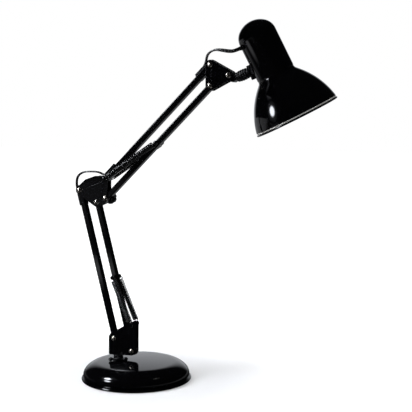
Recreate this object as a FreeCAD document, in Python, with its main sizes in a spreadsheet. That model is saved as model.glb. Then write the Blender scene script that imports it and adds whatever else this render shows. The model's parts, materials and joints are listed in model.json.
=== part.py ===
import FreeCAD, Part
import math
import os
import re

import Sketcher

# Desk lamp on a round weighted base: two parallelogram arms of square tube between
# pressed side plates, balanced by two pairs of coil springs, and a bell shade on a
# swivelling friction joint.  Millimetres, +Z up, origin at the centre of the underside
# of the base, arms in the XZ plane reaching towards +X.

Vector = FreeCAD.Vector
Rotation = FreeCAD.Rotation
Placement = FreeCAD.Placement

UP = Vector(0, 0, 1)
ACROSS = Vector(0, 1, 0)
NEAR = -1
FAR = 1

SIZES = [
    # base
    ("base_side_radius", 92.0, "radius of the upright side of the base"),
    ("base_lip_overhang", 3.0, "rolled lip beyond the upright side"),
    ("base_lip_radius", "base_side_radius + base_lip_overhang", "radius over the rolled lip"),
    ("base_lip_height", 4.1, "height of the rolled lip"),
    ("base_lip_round", 1.9, "rounding of the lip's outer edge"),
    ("base_lip_gap", 0.6, "lip above the table"),
    ("base_side_height", 9.0, "height where the shoulder begins"),
    ("base_shoulder_round", 16.0, "shoulder radius"),
    ("base_shoulder_angle", 45.0, "slope where the shoulder ends"),
    ("base_slope_round", 36.0, "radius of the upper slope"),
    ("base_slope_angle", 86.0, "direction of the slope's normal where the crown begins"),
    ("base_wall", 1.2, "sheet thickness of the base cover"),
    ("pad_thickness", 2.0, "soft pad under the base"),
    ("weight_room", 8.0, "upright side of the base beyond the ballast disc"),
    ("weight_radius", "base_side_radius - weight_room", "radius of the ballast disc"),
    ("weight_thickness", 12.0, "thickness of the ballast disc"),
    ("fit_gap", 0.3, "gap between pieces that fit loosely"),
    # socket for the swivelling post
    ("post_offset", 36.5, "post axis behind the base centre"),
    ("collar_radius", 8.5, "radius of the socket collar"),
    ("collar_top", 37.7, "height of the collar's upper face"),
    ("collar_gap", 0.2, "collar in the hole of the base cover"),
    ("stud_radius", 6.0, "threaded stud under the collar"),
    ("post_radius", 6.0, "radius of the swivelling post"),
    ("post_length", 19.5, "depth of the post in the socket"),
    ("socket_floor", 1.2, "space under the post"),
    ("running_gap", 0.05, "radial clearance of pins and posts"),
    ("nut_width", 19.0, "socket nut across flats"),
    ("nut_thickness", 5.0, "socket nut thickness"),
    ("nut_well_radius", 12.5, "well in the ballast for the nut"),
    ("nut_well_depth", 6.0, "depth of that well"),
    # locking wing screw
    ("screw_height", 35.5, "height of the wing screw's axis"),
    ("screw_bearing", 60.0, "direction of the wing screw, clockwise from +X seen from above"),
    ("screw_radius", 2.0, "shank radius"),
    ("screw_root", 17.0, "wings begin this far from the post axis"),
    ("screw_neck", 2.0, "thicker neck of the shank before the wings"),
    ("wing_length", 11.0, "wings along the screw"),
    ("wing_span", 34.0, "wings across the screw"),
    ("wing_thickness", 4.4, "thickness of the wings"),
    # side plates
    ("plate_thickness", 0.9, "sheet thickness of the side plates"),
    ("plate_gap", 12.0, "space between a pair of side plates"),
    ("emboss_height", 0.7, "height of the pressed panels"),
    ("emboss_round", 3.0, "corner radius of the pressed panels"),
    ("emboss_inset", 10.5, "panel corners from the pivots"),
    # lower bracket
    ("bracket_lift", 0.3, "plates above the collar"),
    ("rear_foot_back", 5.7, "rear pivot behind the post axis"),
    ("rear_foot_height", 67.6, "height of the rear pivot"),
    ("lower_link_run", 35.2, "front pivot ahead of the rear pivot"),
    ("lower_link_drop", 19.7, "front pivot below the rear pivot"),
    ("rear_foot_round", 10.0, "plate radius round the rear pivot"),
    ("front_foot_round", 7.2, "plate radius round the front pivot"),
    ("lug_run", 37.5, "spring lug ahead of the rear pivot"),
    ("lug_rise", 27.0, "spring lug above the rear pivot"),
    ("lug_round", 5.8, "plate radius round the spring lug"),
    ("heel_back", 8.0, "heel corner behind the rear pivot"),
    ("heel_round", 2.0, "radius of the heel corner"),
    ("post_block_length", 16.0, "block on top of the post, along X"),
    ("post_block_height", 19.0, "height of that block"),
    # pivots
    ("pin_radius", 2.0, "pivot pin radius"),
    ("head_radius", 4.85, "rivet head radius"),
    ("head_height", 2.9, "rivet head height"),
    ("bush_radius", 5.4, "radius of the nylon washers"),
    # arms
    ("tube_width", 10.0, "square tube across flats"),
    ("tube_wall", 0.8, "tube wall"),
    ("tube_round", 1.5, "outer corner radius of the tube"),
    ("tube_overhang", 7.0, "tube beyond its pivots"),
    ("lower_length", 266.3, "lower arm between pivots"),
    ("lower_lean", 15.0, "lean of the lower arm away from the reach"),
    ("upper_length", 276.7, "upper arm between pivots"),
    ("upper_rise", 43.6, "rise of the upper arm above level"),
    # elbow bracket
    ("elbow_run", 53.1, "upper arm pivots ahead of the rear lower pivot"),
    ("elbow_drop", 12.4, "lower of them below the rear lower pivot"),
    ("upper_link", 33.8, "height between the upper arm's pivots"),
    ("elbow_rear_round", 7.0, "plate radius at the rear pivot"),
    ("elbow_back_run", 19.2, "back of the plate ahead of the rear pivot"),
    ("elbow_back_rise", 8.0, "back of the plate above the rear pivot"),
    ("elbow_back_round", 13.0, "plate radius at its back"),
    ("elbow_top_run", 35.2, "shoulder of the plate ahead of the rear pivot"),
    ("elbow_top_rise", 18.0, "shoulder of the plate above the rear pivot"),
    ("elbow_top_round", 8.5, "plate radius at the shoulder"),
    ("elbow_tip_round", 4.8, "plate radius at the upper pivot"),
    ("elbow_front_round", 8.6, "plate radius at the knob's pivot"),
    ("elbow_foot_round", 8.0, "plate radius at the front lower pivot"),
    ("elbow_corner_back", 4.2, "plate corner behind the knob's pivot"),
    ("elbow_corner_drop", 0.6, "plate corner below the knob's pivot"),
    ("knob_radius", 11.0, "tension knob radius over its lobes"),
    ("knob_thickness", 8.0, "tension knob thickness"),
    ("knob_lobes", 6, "lobes of the tension knob"),
    ("knob_groove_radius", 2.6, "grooves between the lobes"),
    ("washer_thickness", 1.4, "washers under the knobs"),
    ("washer_radius", 6.0, "radius of those washers"),
    ("stud_inset", 1.0, "end of a clamp bolt inside its knob"),
    # springs
    ("spring_offset", 10.8, "middle of each spring from the arm's plane"),
    ("spring_radius", 3.95, "mean radius of the coils"),
    ("wire_radius", 0.75, "spring wire radius"),
    ("wire_sides", 5, "sides of the faceted wire"),
    ("eye_radius", 3.3, "mean radius of the end loops"),
    ("eye_reach", 8.0, "end loop's centre to the first coil"),
    ("lower_curls", 12, "curls of each lower spring"),
    ("upper_curls", 16, "curls of each upper spring"),
    ("lower_pin_rise", 131.8, "lower spring pin above the front pivot"),
    ("upper_pin_reach", 141.0, "upper spring pin beyond the knob's pivot"),
    ("stub_length", 13.6, "spring pins' ends from the arm's plane"),
    ("stub_cap_radius", 3.4, "caps on the spring pins"),
    ("stub_cap_length", 1.2, "thickness of those caps"),
    # head bracket and friction joint
    ("head_run", 33.0, "head pivot ahead of the upper pivot"),
    ("head_drop", 17.7, "head pivot below the upper pivot"),
    ("head_plate_round", 8.0, "plate radius round the three pivots"),
    ("wing_nut_reach", 16.0, "wing nut's wings from its axis"),
    ("wing_nut_hub", 5.2, "wing nut's hub radius"),
    ("wing_nut_length", 7.0, "wing nut's hub length"),
    ("wing_nut_blade", 2.6, "thickness of its wings"),
    ("wing_nut_lift", 1.5, "wings' middle beyond the hub's middle"),
    ("stem_rise", 21.0, "rise of the stem above level"),
    ("stem_drop", 7.8, "stem's axis below the head pivot, square to the stem"),
    ("stem_reach", 71.3, "head pivot to the axis of the lamp housing, along the stem"),
    ("stem_radius", 4.0, "stem radius"),
    ("eye_plate_radius", 7.0, "eye of the stem round the head pivot"),
    ("stem_root_round", 5.5, "round end of the lug that the stem grows from"),
    ("boot_start", 10.0, "boot from the head pivot"),
    ("boot_length", 24.6, "boot length"),
    ("boot_end_radius", 7.6, "boot radius at its ends"),
    ("boot_swell", 1.6, "extra radius in its middle"),
    ("boot_ribs", 6, "ribs of the boot"),
    ("boot_rib_height", 0.9, "height of the ribs"),
    ("clip_width", 17.0, "clip across the stem"),
    ("clip_thickness", 1.5, "clip sheet thickness"),
    ("clip_above", 10.5, "clip above the stem"),
    ("clip_below", 13.5, "clip below the stem"),
    ("stem_nut_radius", 6.0, "nut inside the clip"),
    ("stem_nut_length", 2.4, "thickness of that nut"),
    # head
    ("head_tilt", 24.5, "tilt of the lamp housing from upright"),
    ("head_turn", 11.4, "turn of the head about the stem"),
    ("rim_drop", 94.5, "stem's axis above the rim of the shade"),
    ("rim_radius", 69.3, "radius of the shade's rim"),
    ("rim_band", 3.4, "upright band at the rim"),
    ("rim_bend", 10.0, "radius between band and bell"),
    ("bell_start_angle", 11.9, "slope at the foot of the bell"),
    ("bell_round", 125.0, "radius of the bell's side"),
    ("bell_end_angle", 44.0, "slope at the head of the bell"),
    ("throat_run", 3.9, "straight part below the throat, along the axis"),
    ("throat_round", 8.0, "radius of the throat"),
    ("rim_bead", 1.6, "radius of the rolled bead at the rim"),
    ("shade_wall", 1.0, "sheet thickness of the shade"),
    ("spigot_length", 7.0, "shade inside the housing"),
    ("housing_radius", 31.2, "lamp housing radius"),
    ("housing_wall", 1.0, "lamp housing wall"),
    ("housing_straight", 64.0, "straight part of the housing"),
    ("housing_shoulder", 24.0, "shoulder radius of the housing's end"),
    ("housing_shoulder_angle", 50.0, "slope where its crown begins"),
    ("holder_radius", 18.5, "lamp holder body radius"),
    ("holder_length", 40.0, "lamp holder body length"),
    ("holder_collar", 3.0, "rim thickness of the lamp holder"),
    ("holder_low", -6.0, "mouth of the lamp holder from the stem's axis"),
    ("holder_flange", 1.5, "rim of the lamp holder beyond its body"),
    ("holder_taper_length", 9.0, "tapered end of the lamp holder"),
    ("holder_taper", 7.0, "narrowing of that end"),
    ("thread_inset", 2.0, "threaded shell inside the holder's mouth"),
    ("thread_radius", 13.3, "radius in the threaded shell"),
    ("thread_wall", 0.5, "wall of the threaded shell"),
    ("thread_length", 22.0, "length of the threaded shell"),
    ("thread_end_length", 4.0, "tapered end of the threaded shell"),
    ("thread_end_radius", 9.0, "radius in the shell's closed end"),
    ("shell_hole_radius", 6.0, "hole in the end of the threaded shell"),
    ("contact_radius", 3.0, "radius of the centre contact"),
    ("contact_height", 3.0, "centre contact below the shell's end"),
    ("contact_dome", 0.8, "height of the contact's cone"),
    ("bridge_thickness", 1.5, "bridge plate that carries the holder"),
    ("vent_radius", 5.0, "vents in the bridge plate"),
    ("vent_circle", 23.5, "radius of the vent circle"),
    ("vent_count", 5, "number of vents"),
    ("nipple_radius", 5.0, "nipple between holder and bridge"),
    ("nipple_depth", 6.0, "nipple inside the holder"),
    ("nipple_beyond", 3.0, "nipple beyond the bridge plate"),
    ("grommet_height", 40.5, "cable grommet above the stem's axis"),
    ("grommet_bearing", 226.0, "direction of the grommet round the housing"),
    ("grommet_radius", 4.2, "grommet radius"),
    ("grommet_length", 5.5, "grommet outside the housing"),
    ("grommet_hole_radius", 3.2, "hole for the grommet in the housing"),
    ("grommet_inside", 1.5, "grommet inside the housing"),
    ("grommet_seat", 0.2, "flange of the grommet above the housing wall"),
    ("grommet_flare", 0.6, "height where the flange is widest"),
    ("grommet_taper", 0.8, "narrowing of the grommet's end"),
    # cable
    ("core_radius", 0.95, "radius of each single core"),
    ("core_sides", 6, "sides of the faceted cores"),
    ("core_spacing", 2.4, "distance between the two cores"),
    ("core_lift", 6.9, "cable above the tube's axis at the sleeves"),
    ("core_depth", 2.6, "cable above the tube's axis inside the tube"),
    ("core_rise", 0.8, "further rise of the cable beyond the elbow sleeve"),
    ("core_climb", 1.3, "further rise of the cable beyond the head sleeve"),
    ("sleeve_wall", 0.9, "wall of the plastic end sleeves"),
    ("sleeve_gap", 0.05, "sleeve round the tube"),
    ("sleeve_root", 26.0, "elbow sleeve starts this far below the pivot"),
    ("sleeve_beyond", 9.0, "elbow sleeve beyond the pivot"),
    ("upper_sleeve_length", 28.5, "upper arm's low sleeve beyond the pivot"),
    ("head_sleeve_root", 32.0, "upper arm's high sleeve starts this far from the pivot"),
    ("head_sleeve_end", 9.0, "and ends this far from it"),
    ("hood_radius", 2.9, "hood over the cable"),
    ("hood_room", 0.4, "channel in the hood above the cable's line"),
    ("elbow_hood_end", 5.0, "hood of the elbow sleeve ends this far below the pivot"),
    ("upper_hood_start", 4.0, "hood of the low sleeve starts this far from the pivot"),
    ("head_hood_end", 14.0, "hood of the high sleeve ends this far from the pivot"),
    ("slot_width", 5.2, "cable slot in the tube"),
    ("slot_near_elbow", 15.0, "cable slots at the elbow start this far from the pivot"),
    ("slot_near_head", 21.0, "cable slot at the head starts this far from the pivot"),
    ("slot_length", 9.0, "cable slots between the middles of their round ends"),
]

doc = FreeCAD.newDocument("desk_lamp")
sheet = doc.addObject("Spreadsheet::Sheet", "Sizes")
for row, (alias, value, meaning) in enumerate(SIZES, 1):
    sheet.set("A%d" % row, meaning)
    sheet.set("B%d" % row, "=" + value if isinstance(value, str) else str(value))
    sheet.setAlias("B%d" % row, alias)
doc.recompute()

NAMES = {alias for alias, value, meaning in SIZES}
NODES = {}


def value(expression):
    return float(sheet.evalExpression(str(expression)))


def tied(expression):
    return re.sub(r"[a-z_]+", lambda word: ("Sizes." if word.group(0) in NAMES else "") + word.group(0),
                  str(expression))


def tie(thing, name, expression):
    thing.setExpression(name, tied(expression))


def sine(angle):
    return f"sin({angle} * 1 deg)"


def cosine(angle):
    return f"cos({angle} * 1 deg)"


# sketches

def new_body(label):
    body = doc.addObject("PartDesign::Body", label)
    body.Label = label
    return body


def new_sketch(body, plane, lift=None):
    sketch = body.newObject("Sketcher::SketchObject", body.Name + "_sketch")
    datum = next(item for item in body.Origin.OriginFeatures if item.Role == plane)
    sketch.AttachmentSupport = (datum, "")
    sketch.MapMode = "FlatFace"
    if lift is not None:
        sketch.AttachmentOffset = Placement(Vector(0, 0, value(lift)), Rotation())
        tie(sketch, "AttachmentOffset.Base.z", lift)
    return sketch


def hold(sketch, kind, geometry, expression):
    index = sketch.addConstraint(Sketcher.Constraint(kind, *geometry, value(expression)))
    tie(sketch, "Constraints[%d]" % index, expression)


def place_point(sketch, element, end, x, y):
    hold(sketch, "DistanceX", (-1, 1, element, end), x)
    hold(sketch, "DistanceY", (-1, 1, element, end), y)


def circle(sketch, x, y, radius):
    shape = Part.Circle(Vector(value(x), value(y), 0), UP, value(radius))
    element = sketch.addGeometry(shape, False)
    place_point(sketch, element, 3, x, y)
    hold(sketch, "Radius", (element,), radius)


# closed outline round a ring of circles, given counter-clockwise, by arcs and tangents
def outline(sketch, circles):
    centres = [Vector(value(x), value(y), 0) for x, y, radius in circles]
    radii = [value(radius) for x, y, radius in circles]
    count = len(circles)
    normals = []
    for i in range(count):
        span = centres[(i + 1) % count] - centres[i]
        along = span.normalize() if span.Length else span
        distance = (centres[(i + 1) % count] - centres[i]).Length
        part = (radii[i] - radii[(i + 1) % count]) / distance
        side = Vector(along.y, -along.x, 0)
        normals.append(side * math.sqrt(1 - part * part) + along * part)
    arcs = []
    for i in range(count):
        start = math.atan2(normals[i - 1].y, normals[i - 1].x)
        sweep = (math.atan2(normals[i].y, normals[i].x) - start) % (2 * math.pi)
        ring = Part.Circle(centres[i], UP, radii[i])
        arcs.append(sketch.addGeometry(Part.ArcOfCircle(ring, start, start + sweep), False))
    lines = []
    for i in range(count):
        after = (i + 1) % count
        begin = centres[i] + normals[i] * radii[i]
        end = centres[after] + normals[i] * radii[after]
        lines.append(sketch.addGeometry(Part.LineSegment(begin, end), False))
    for i in range(count):
        after = (i + 1) % count
        sketch.addConstraint(Sketcher.Constraint("Tangent", arcs[i], 2, lines[i], 1))
        sketch.addConstraint(Sketcher.Constraint("Tangent", lines[i], 2, arcs[after], 1))
    for i, (x, y, radius) in enumerate(circles):
        place_point(sketch, arcs[i], 3, x, y)
        hold(sketch, "Radius", (arcs[i],), radius)


# closed profile through points (x, y, bend): bend is the radius of the arc to the next
# point, positive where it turns left and negative where it turns right
def profile(sketch, points):
    spots = [Vector(value(x), value(y), 0) for x, y, bend in points]
    count = len(points)
    ends = []
    for i, (x, y, bend) in enumerate(points):
        start = spots[i]
        end = spots[(i + 1) % count]
        if bend is None:
            element = sketch.addGeometry(Part.LineSegment(start, end), False)
            ends.append((element, 1, 2))
            continue
        left = not str(bend).startswith("-")
        radius = abs(value(bend))
        chord = end - start
        half = chord.Length / 2
        normal = Vector(-chord.y, chord.x, 0).normalize()
        offset = math.sqrt(radius * radius - half * half) * (1 if left else -1)
        centre = (start + end) * 0.5 + normal * offset
        first = math.atan2(start.y - centre.y, start.x - centre.x)
        last = math.atan2(end.y - centre.y, end.x - centre.x)
        ring = Part.Circle(centre, UP, radius)
        if left:
            arc = Part.ArcOfCircle(ring, first, first + (last - first) % (2 * math.pi))
            ends.append((sketch.addGeometry(arc, False), 1, 2))
        else:
            arc = Part.ArcOfCircle(ring, last, last + (first - last) % (2 * math.pi))
            ends.append((sketch.addGeometry(arc, False), 2, 1))
        hold(sketch, "Radius", (ends[-1][0],), str(bend).lstrip("-"))
    for i in range(count):
        here = ends[i]
        after = ends[(i + 1) % count]
        sketch.addConstraint(Sketcher.Constraint("Coincident", here[0], here[2], after[0], after[1]))
    for i, (x, y, bend) in enumerate(points):
        place_point(sketch, ends[i][0], ends[i][1], x, y)


# features

def turned(label, points):
    body = new_body(label)
    sketch = new_sketch(body, "XZ_Plane")
    profile(sketch, points)
    turn = body.newObject("PartDesign::Revolution", label + "_turn")
    turn.Profile = sketch
    turn.ReferenceAxis = (sketch, ["V_Axis"])
    turn.Angle = 360
    body.Tip = turn
    return body


def pad(body, sketch, length, middle=False, backwards=False):
    feature = body.newObject("PartDesign::Pad", body.Name + "_pad")
    feature.Profile = sketch
    feature.Length = value(length)
    tie(feature, "Length", length)
    feature.Midplane = middle
    feature.Reversed = backwards
    body.Tip = feature
    return feature


def pocket(body, sketch, length, middle=False, backwards=False):
    before = body.Tip.Shape.Volume if body.Tip.Shape.isValid() else 0
    feature = body.newObject("PartDesign::Pocket", body.Name + "_pocket")
    feature.Profile = sketch
    feature.Length = value(length)
    tie(feature, "Length", length)
    feature.Midplane = middle
    feature.Reversed = backwards
    body.Tip = feature
    doc.recompute()
    if not feature.Shape.Volume < before:
        raise ValueError("a pocket of %s cuts nothing" % body.Label)
    return feature


def primitive(kind, name, **sizes):
    thing = doc.addObject("Part::" + kind, name)
    for key, expression in sizes.items():
        setattr(thing, key, value(expression))
        tie(thing, key, expression)
    return thing


def boolean(kind, name, base, *tools):
    for number, tool in enumerate(tools):
        made = doc.addObject("Part::" + kind, name if number == len(tools) - 1 else name + "_step")
        made.Base = base
        made.Tool = tool
        base = made
    return base


def node(label, thing, place=None):
    thing.Label = label
    if place is not None:
        thing.Placement = place
    NODES[label] = thing
    return thing


def shapes_node(label, shapes, place=None):
    thing = doc.addObject("Part::Feature", label)
    thing.Shape = Part.makeCompound(shapes)
    return node(label, thing, place)


def copies(thing, places):
    made = []
    for place in places:
        shape = thing.Shape.copy()
        shape.Placement = place
        made.append(shape)
    return made


# frames of the arms, computed from the sizes

def point(x, z, y=0.0):
    return Vector(x, y, z)


def about_y(angle):
    return Rotation(ACROSS, angle)


POST = point(-value("post_offset"), 0)
P1 = point(POST.x - value("rear_foot_back"), value("rear_foot_height"))
LINK = point(value("lower_link_run"), -value("lower_link_drop"))
P2 = P1 + LINK
LOWER_TURN = about_y(-value("lower_lean"))
LOWER = LOWER_TURN.multVec(UP)
Q1 = P1 + LOWER * value("lower_length")
Q2 = P2 + LOWER * value("lower_length")
Q3 = Q1 + point(value("elbow_run"), -value("elbow_drop"))
Q4 = Q3 + UP * value("upper_link")
UPPER_TURN = about_y(90 - value("upper_rise"))
UPPER = UPPER_TURN.multVec(UP)
H1 = Q4 + UPPER * value("upper_length")
H2 = Q3 + UPPER * value("upper_length")
H3 = H1 + point(value("head_run"), -value("head_drop"))
STEM_TURN = about_y(90 - value("stem_rise"))
STEM = STEM_TURN.multVec(UP)
STEM_FOOT = H3 + STEM_TURN.multVec(Vector(value("stem_drop"), 0, 0))
HEAD_AT = STEM_FOOT + STEM * value("stem_reach")
HEAD_TURN = Rotation(STEM, value("head_turn")).multiply(about_y(-value("head_tilt")))
HEAD = Placement(HEAD_AT, HEAD_TURN)
HALF_GAP = "plate_gap / 2"
ACROSS_TURN = Rotation(UP, ACROSS)

# base: pressed cover, ballast, pad, socket with its nut

lip_top = "(base_lip_gap + base_lip_height)"
shoulder_x = "(base_side_radius - base_shoulder_round)"
slope_x = f"({shoulder_x} - (base_slope_round - base_shoulder_round) * {cosine('base_shoulder_angle')})"
slope_z = f"(base_side_height - (base_slope_round - base_shoulder_round) * {sine('base_shoulder_angle')})"
crown_round = f"(({slope_x} + base_slope_round * {cosine('base_slope_angle')}) / {cosine('base_slope_angle')})"
crown_z = f"({slope_z} + (base_slope_round - {crown_round}) * {sine('base_slope_angle')})"


def on_shoulder(inset, angle):
    return (f"{shoulder_x} + (base_shoulder_round - {inset}) * {cosine(angle)}",
            f"base_side_height + (base_shoulder_round - {inset}) * {sine(angle)}")


def on_slope(inset, angle):
    return (f"{slope_x} + (base_slope_round - {inset}) * {cosine(angle)}",
            f"{slope_z} + (base_slope_round - {inset}) * {sine(angle)}")


outer_shoulder = on_shoulder("0", "base_shoulder_angle")
outer_slope = on_slope("0", "base_slope_angle")
inner_shoulder = on_shoulder("base_wall", "base_shoulder_angle")
inner_slope = on_slope("base_wall", "base_slope_angle")
cover = turned("base_cover", [
    ("0", f"{crown_z} + {crown_round} - base_wall", None),
    ("0", f"{crown_z} + {crown_round}", f"-{crown_round}"),
    (outer_slope[0], outer_slope[1], "-base_slope_round"),
    (outer_shoulder[0], outer_shoulder[1], "-base_shoulder_round"),
    ("base_side_radius", "base_side_height", None),
    ("base_side_radius", lip_top, None),
    ("base_lip_radius - base_lip_round", lip_top, "-base_lip_round"),
    ("base_lip_radius", f"{lip_top} - base_lip_round", None),
    ("base_lip_radius", "base_lip_gap + base_lip_round", "-base_lip_round"),
    ("base_lip_radius - base_lip_round", "base_lip_gap", None),
    ("base_side_radius - base_wall", "base_lip_gap", None),
    ("base_side_radius - base_wall", "base_side_height", "(base_shoulder_round - base_wall)"),
    (inner_shoulder[0], inner_shoulder[1], "(base_slope_round - base_wall)"),
    (inner_slope[0], inner_slope[1], f"({crown_round} - base_wall)"),
])
hole = new_sketch(cover, "XY_Plane")
circle(hole, "-post_offset", "0", "collar_radius + collar_gap")
doc.recompute()
pocket(cover, hole, "2 * collar_top", middle=True)
node("base_cover", cover)

pad_piece = primitive("Cylinder", "base_pad", Radius="base_side_radius - base_wall - fit_gap",
                      Height="pad_thickness")
node("base_pad", pad_piece)

weight_top = "(pad_thickness + weight_thickness)"
weight_disc = primitive("Cylinder", "weight_disc", Radius="weight_radius", Height="weight_thickness")
weight_disc.Placement.Base = UP * value("pad_thickness")
stud_hole = primitive("Cylinder", "stud_hole", Radius="stud_radius + running_gap", Height=f"2 * {weight_top}")
stud_hole.Placement.Base = POST
nut_well = primitive("Cylinder", "nut_well", Radius="nut_well_radius", Height="pad_thickness + nut_well_depth")
nut_well.Placement.Base = POST
weight = boolean("Cut", "base_weight", weight_disc, stud_hole, nut_well)
node("base_weight", weight)

stud_low = "(pad_thickness + nut_well_depth - nut_thickness - fit_gap)"
socket = turned("socket_turning", [
    ("0", stud_low, None),
    ("stud_radius", stud_low, None),
    ("stud_radius", weight_top, None),
    ("collar_radius", weight_top, None),
    ("collar_radius", "collar_top", None),
    ("post_radius + running_gap", "collar_top", None),
    ("post_radius + running_gap", "collar_top - post_length - socket_floor", None),
    ("0", "collar_top - post_length - socket_floor", None),
])
socket.Placement.Base = POST
SCREW_TURN = Rotation(UP, -value("screw_bearing")).multiply(about_y(90))
SCREW = SCREW_TURN.multVec(UP)
screw_hole = primitive("Cylinder", "screw_hole", Radius="screw_radius + running_gap",
                       Height="2 * collar_radius")
screw_hole.Placement = Placement(POST + UP * value("screw_height"), SCREW_TURN)
node("base_socket", boolean("Cut", "base_socket", socket, screw_hole))

nut = primitive("Prism", "nut_blank", Circumradius=f"nut_width / 2 / {cosine(30)}",
                Height="nut_thickness")
nut_bore = primitive("Cylinder", "nut_bore", Radius="stud_radius + running_gap", Height="nut_thickness")
node("base_nut", boolean("Cut", "base_nut", nut, nut_bore),
     Placement(POST + UP * value("pad_thickness + nut_well_depth - nut_thickness"), Rotation()))

# wing screw that clamps the post, lying flat in front of the collar

wings = new_body("wing_screw")
sheet_of_wings = new_sketch(wings, "YZ_Plane")
tip = "wing_length / 2"
outline(sheet_of_wings, [
    (f"wing_span / 2 - {tip}", f"screw_root + {tip}", tip),
    (f"-wing_span / 2 + {tip}", f"screw_root + {tip}", tip),
])
pad(wings, sheet_of_wings, "wing_thickness", middle=True)
shank = new_sketch(wings, "XY_Plane", "post_radius + fit_gap")
circle(shank, "0", "0", "screw_radius")
pad(wings, shank, "screw_root + wing_length / 2 - post_radius - fit_gap")
neck = new_sketch(wings, "XY_Plane", "screw_root - screw_neck")
circle(neck, "0", "0", "wing_thickness / 2")
pad(wings, neck, "wing_length")
node("wing_screw", wings, Placement(POST + UP * value("screw_height"), SCREW_TURN))


# side plates: outline, pressed panel and pivot holes; the near ones face -Y

def toward(corner, centre, inset):
    x, z = corner
    cx, cz = centre
    span = f"sqrt(({cx} - ({x}))^2 + ({cz} - ({z}))^2)"
    return (f"({x}) + ({cx} - ({x})) * ({inset}) / {span}",
            f"({z}) + ({cz} - ({z})) * ({inset}) / {span}")


def side_plate(label, circles, panel, holes, side, origin):
    body = new_body(label)
    sheet_metal = new_sketch(body, "XZ_Plane")
    outline(sheet_metal, circles)
    pad(body, sheet_metal, "plate_thickness", middle=True)
    outward = -side
    raised = new_sketch(body, "XZ_Plane", f"{outward} * plate_thickness / 2")
    outline(raised, [(x, z, "emboss_round") for x, z in panel])
    pad(body, raised, "emboss_height", backwards=side == FAR)
    hollow = new_sketch(body, "XZ_Plane", f"{-outward} * plate_thickness / 2")
    outline(hollow, [(x, z, "emboss_round - emboss_height") for x, z in panel])
    doc.recompute()
    pocket(body, hollow, "emboss_height", backwards=side == NEAR)
    drilled = new_sketch(body, "XZ_Plane")
    for x, z in holes:
        circle(drilled, x, z, "pin_radius + running_gap")
    pocket(body, drilled, "4 * plate_thickness", middle=True)
    shift = ACROSS * side * value(f"{HALF_GAP} + plate_thickness / 2")
    node(label, body, Placement(origin + shift, Rotation()))


heel_z = "(collar_top + bracket_lift + heel_round - rear_foot_height)"
lower_pivots = [("0", "0"), ("lower_link_run", "-lower_link_drop")]
lug = ("lug_run", "lug_rise")
heel = ("-heel_back", heel_z)
lower_outline = [
    (*heel, "heel_round"),
    (*lower_pivots[1], "front_foot_round"),
    (*lug, "lug_round"),
    (*lower_pivots[0], "rear_foot_round"),
]
lower_middle = ("(lower_link_run + lug_run - heel_back) / 4", f"(lug_rise - lower_link_drop + {heel_z}) / 4")
lower_panel = [toward(corner, lower_middle, "emboss_inset")
               for corner in (heel, lower_pivots[1], lug, lower_pivots[0])]

elbow_pivots = [
    ("0", "0"),
    ("lower_link_run", "-lower_link_drop"),
    ("elbow_run", "-elbow_drop"),
    ("elbow_run", "upper_link - elbow_drop"),
]
elbow_outline = [
    (*elbow_pivots[0], "elbow_rear_round"),
    (*elbow_pivots[1], "elbow_foot_round"),
    ("elbow_run - elbow_corner_back", "-elbow_drop - elbow_corner_drop", "elbow_front_round"),
    (*elbow_pivots[3], "elbow_tip_round"),
    ("elbow_top_run", "elbow_top_rise", "elbow_top_round"),
    ("elbow_back_run", "elbow_back_rise", "elbow_back_round"),
]
elbow_middle = ("(lower_link_run + 2 * elbow_run) / 4",
                "(upper_link - 2 * elbow_drop - lower_link_drop) / 4")
elbow_panel = [toward(corner, elbow_middle, "emboss_inset") for corner in elbow_pivots]

head_pivots = [("0", "0"), ("0", "-upper_link"), ("head_run", "-head_drop")]
head_outline = [(*head_pivots[i], "head_plate_round") for i in (1, 2, 0)]
head_middle = ("head_run / 3", "-(upper_link + head_drop) / 3")
head_panel = [toward(head_pivots[i], head_middle, "emboss_inset") for i in (1, 2, 0)]

for name, side in (("near", NEAR), ("far", FAR)):
    side_plate("lower_plate_" + name, lower_outline, lower_panel, lower_pivots + [lug], side, P1)
    side_plate("elbow_plate_" + name, elbow_outline, elbow_panel, elbow_pivots, side, Q1)
    side_plate("head_plate_" + name, head_outline, head_panel, head_pivots, side, H1)

# post with the block that the lower plates are riveted to

block = primitive("Box", "post_block", Length="post_block_length", Width="plate_gap",
                  Height="post_block_height")
block.Placement.Base = Vector(-value("post_block_length") / 2, -value(HALF_GAP), value("collar_top"))
post_pin = primitive("Cylinder", "post_pin", Radius="post_radius", Height="post_length")
post_pin.Placement.Base = UP * value("collar_top - post_length")
node("swivel_post", boolean("Fuse", "swivel_post", block, post_pin), Placement(POST, Rotation()))

# pivot pins with domed heads; a pin's axis is its local Z and its middle is at 0

head_seat = f"({HALF_GAP} + plate_thickness)"
dome = "((head_radius^2 + head_height^2) / 2 / head_height)"
rivet = turned("rivet", [
    ("0", f"-({head_seat} + head_height)", dome),
    ("head_radius", f"-{head_seat}", None),
    ("pin_radius", f"-{head_seat}", None),
    ("pin_radius", head_seat, None),
    ("head_radius", head_seat, dome),
    ("0", f"{head_seat} + head_height", None),
])
doc.recompute()


def pinned(*spots):
    return [Placement(spot, ACROSS_TURN) for spot in spots]


shapes_node("lower_rivets", copies(rivet, pinned(P1, P2)))
shapes_node("elbow_rivets", copies(rivet, pinned(Q1, Q2)))
shapes_node("head_rivets", copies(rivet, pinned(H1, H2)))

# pins whose ends carry the spring loops

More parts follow.
